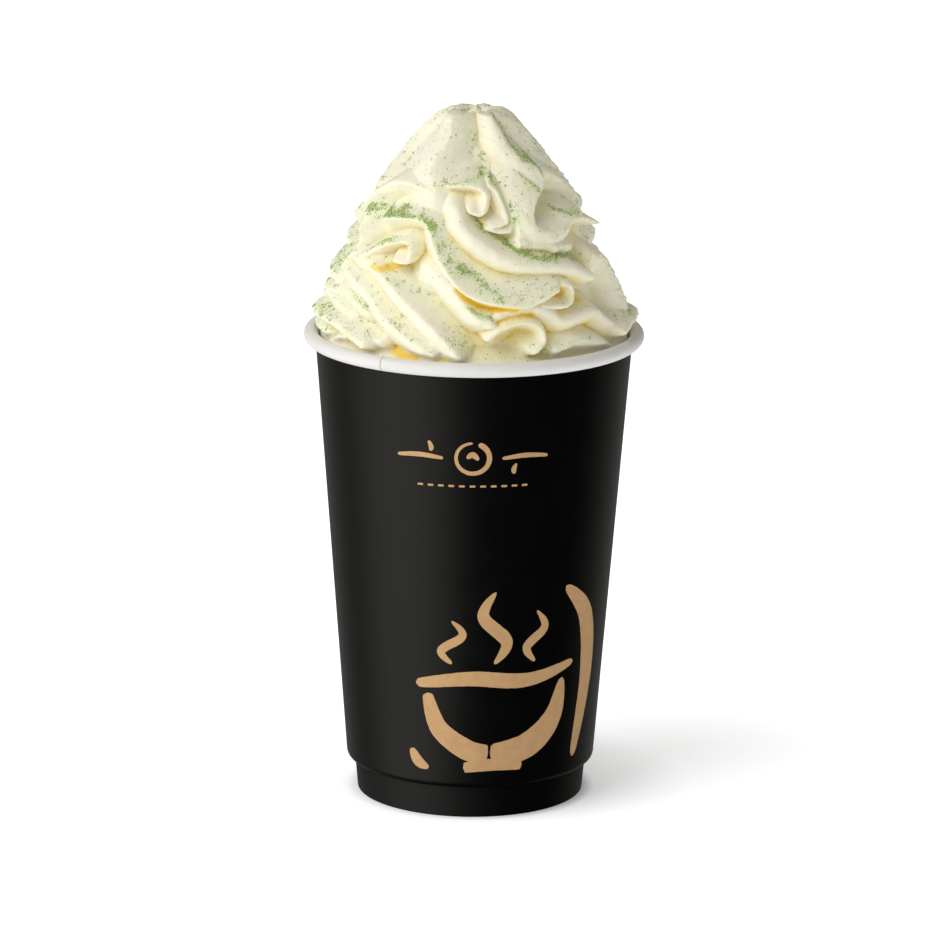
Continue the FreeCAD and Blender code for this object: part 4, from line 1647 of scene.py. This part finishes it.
@dataclass
class Studio:
    """A pale floor, soft light from the left, and the camera.

    Attributes:
        distance: how far away the camera is, mm, from the spot that it is aimed round.
        aim: the height of that spot.
        elevation: how far above level the camera stands, in degrees.
        lens: its focal length, mm, on a sensor as wide as film is.
        roll: how far it is tipped, in degrees.
        sight: what it looks at: mm to the right, mm over the floor.
        floor: the side of the floor, mm.
        key_strength: the key light.
        key_softness: how wide it is seen from the cup, in degrees.
        key_rise: how high it stands, in degrees.
        key_turn: where round from the front it stands, in degrees.
        air_strength: how bright the air is for soft light.
        air: its colour: the room throws back a little warmth.
        back_gloss: how bright the wall behind is in reflections.
        back_fade: where it starts and is full: 1 is straight behind the cup.
        panel_gloss: how bright a tall softbox beside the camera is in reflections.
        panel_turn: where round from the front it stands, in degrees.
        panel_fade: where it starts and is full: 1 is straight towards its middle.
        finish: the floor's paper.
    """

    distance: float = 1600.0
    aim: float = 60.0
    elevation: float = 15.086
    lens: float = 230.34
    roll: float = 0.539
    sight: tuple[float, float] = (-1.11, 87.45)
    floor: float = 8000.0
    key_strength: float = 2.0
    key_softness: float = 55.0
    key_rise: float = 40.0
    key_turn: float = -58.0
    air_strength: float = 0.3
    air: str = "#FFFCF4"
    back_gloss: float = 0.24
    back_fade: tuple[float, float] = (0.1, 0.9)
    panel_gloss: float = 0.75
    panel_turn: float = -56.0
    panel_fade: tuple[float, float] = (0.5, 1.0)
    finish: StudioPaper = StudioPaper()

    def place_camera(self) -> None:
        """Set the camera level with the cup's upper half, looking slightly down."""
        data = bpy.data.cameras.new("camera")
        data.lens = self.lens
        data.sensor_width = 36.0
        data.clip_end = 100.0
        camera = bpy.data.objects.new("camera", data)
        tilt = math.radians(self.elevation)
        rise = self.aim + self.distance * math.sin(tilt)
        stand = Vector((0, -self.distance * math.cos(tilt), rise))
        look = Vector((self.sight[0], 0, self.sight[1])) - stand
        turn = look.to_track_quat("-Z", "Y").to_matrix().to_4x4()
        roll = Matrix.Rotation(math.radians(self.roll), 4, "Z")
        camera.matrix_world = Matrix.Translation(stand * MM) @ turn @ roll
        bpy.context.scene.collection.objects.link(camera)
        bpy.context.scene.camera = camera

    def add_key(self) -> None:
        """Set the key light: a wide far softbox to the left and above, the same over the floor."""
        data = bpy.data.lights.new("key", "SUN")
        data.energy = self.key_strength
        data.angle = math.radians(self.key_softness)
        light = bpy.data.objects.new("key", data)
        rise = math.radians(self.key_rise)
        turn = math.radians(self.key_turn)
        towards = Vector((
            math.sin(turn) * math.cos(rise), -math.cos(turn) * math.cos(rise), math.sin(rise)
        ))
        light.matrix_world = towards.to_track_quat("Z", "Y").to_matrix().to_4x4()
        bpy.context.scene.collection.objects.link(light)

    def fill_air(self) -> None:
        """Light the room: even for soft light, and a pale wall and a softbox for reflections."""
        world = bpy.data.worlds.new("studio_air")
        world.use_nodes = True
        tree = world.node_tree
        tree.nodes.clear()
        path = add_node(tree, "ShaderNodeLightPath")
        place = add_node(tree, "ShaderNodeTexCoord")
        parts = add_node(tree, "ShaderNodeSeparateXYZ", links={"Vector": (place, "Generated")})
        behind = add_node(
            tree, "ShaderNodeMapRange",
            values={
                "From Min": self.back_fade[0],
                "From Max": self.back_fade[1],
                "To Min": 0.0,
                "To Max": self.back_gloss,
            },
            links={"Value": (parts, "Y")},
        )
        turn = math.radians(self.panel_turn)
        towards = add_node(
            tree, "ShaderNodeVectorMath", {"operation": "DOT_PRODUCT"},
            {1: (math.sin(turn), -math.cos(turn), 0.0)}, {0: (place, "Generated")},
        )
        panel = add_node(
            tree, "ShaderNodeMapRange", {"interpolation_type": "SMOOTHSTEP"},
            {
                "From Min": self.panel_fade[0],
                "From Max": self.panel_fade[1],
                "To Min": 0.0,
                "To Max": self.panel_gloss,
            },
            {"Value": (towards, "Value")},
        )
        shine = add_node(
            tree, "ShaderNodeMath", {"operation": "ADD"},
            links={0: (behind, "Result"), 1: (panel, "Result")},
        )
        strength = add_node(
            tree, "ShaderNodeMix", {"data_type": "FLOAT"}, {"A": self.air_strength},
            {"Factor": (path, "Is Glossy Ray"), "B": (shine, "Value")},
        )
        air = add_node(
            tree, "ShaderNodeBackground", values={"Color": linear(self.air)},
            links={"Strength": (strength, "Result")},
        )
        add_node(tree, "ShaderNodeOutputWorld", links={"Surface": (air, "Background")})
        bpy.context.scene.world = world

    def build(self) -> None:
        """Lay the floor, light it, fill the air and set the camera."""
        half = self.floor / 2
        corners = [(-half, -half, 0), (half, -half, 0), (half, half, 0), (-half, half, 0)]
        floor = new_piece("floor", np.array(corners), [[0, 1, 2, 3]], self.finish.build())
        floor.visible_glossy = False
        self.add_key()
        self.fill_air()
        bpy.context.scene.view_settings.view_transform = "Standard"
        self.place_camera()


# ---------------------------------------------------------------- putting it together


NECK_CLEARANCE = 0.6  # between the swirl's root and the inside of the cup, mm


def main() -> None:
    """Load the frame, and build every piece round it."""
    logging.basicConfig(level=logging.INFO, format="%(name)s: %(message)s")
    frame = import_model()
    _, wall_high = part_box("cup_wall")
    _, base_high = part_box("cup_base")
    _, sleeve_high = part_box("sleeve")
    LOG.info("frame loaded with %d nodes", len(frame["nodes"]))

    curl = (wall_high.z - sleeve_high.z) / MM / 2
    cup = PaperCup(frame["nodes"], wall_high.x / MM, wall_high.z / MM, curl)
    for piece in cup.build():
        LOG.info("built %s with %d faces", piece.name, len(piece.data.polygons))

    mouth = wall_high.x / MM - 2 * curl
    swirl = Swirl(
        cup_height=wall_high.z / MM,
        mouth_radius=mouth,
        neck_radius=mouth - NECK_CLEARANCE,
        floor_height=base_high.z / MM,
        floor_radius=base_high.x / MM,
    )
    foam = swirl.build()
    LOG.info("built the swirl with %d faces", len(foam.data.polygons))
    powder = PowderDusting().build(foam)
    LOG.info("scattered the powder, %d faces", len(powder.data.polygons))
    Studio().build()
    LOG.info("set up the studio")


if __name__ == "__main__":
    main()
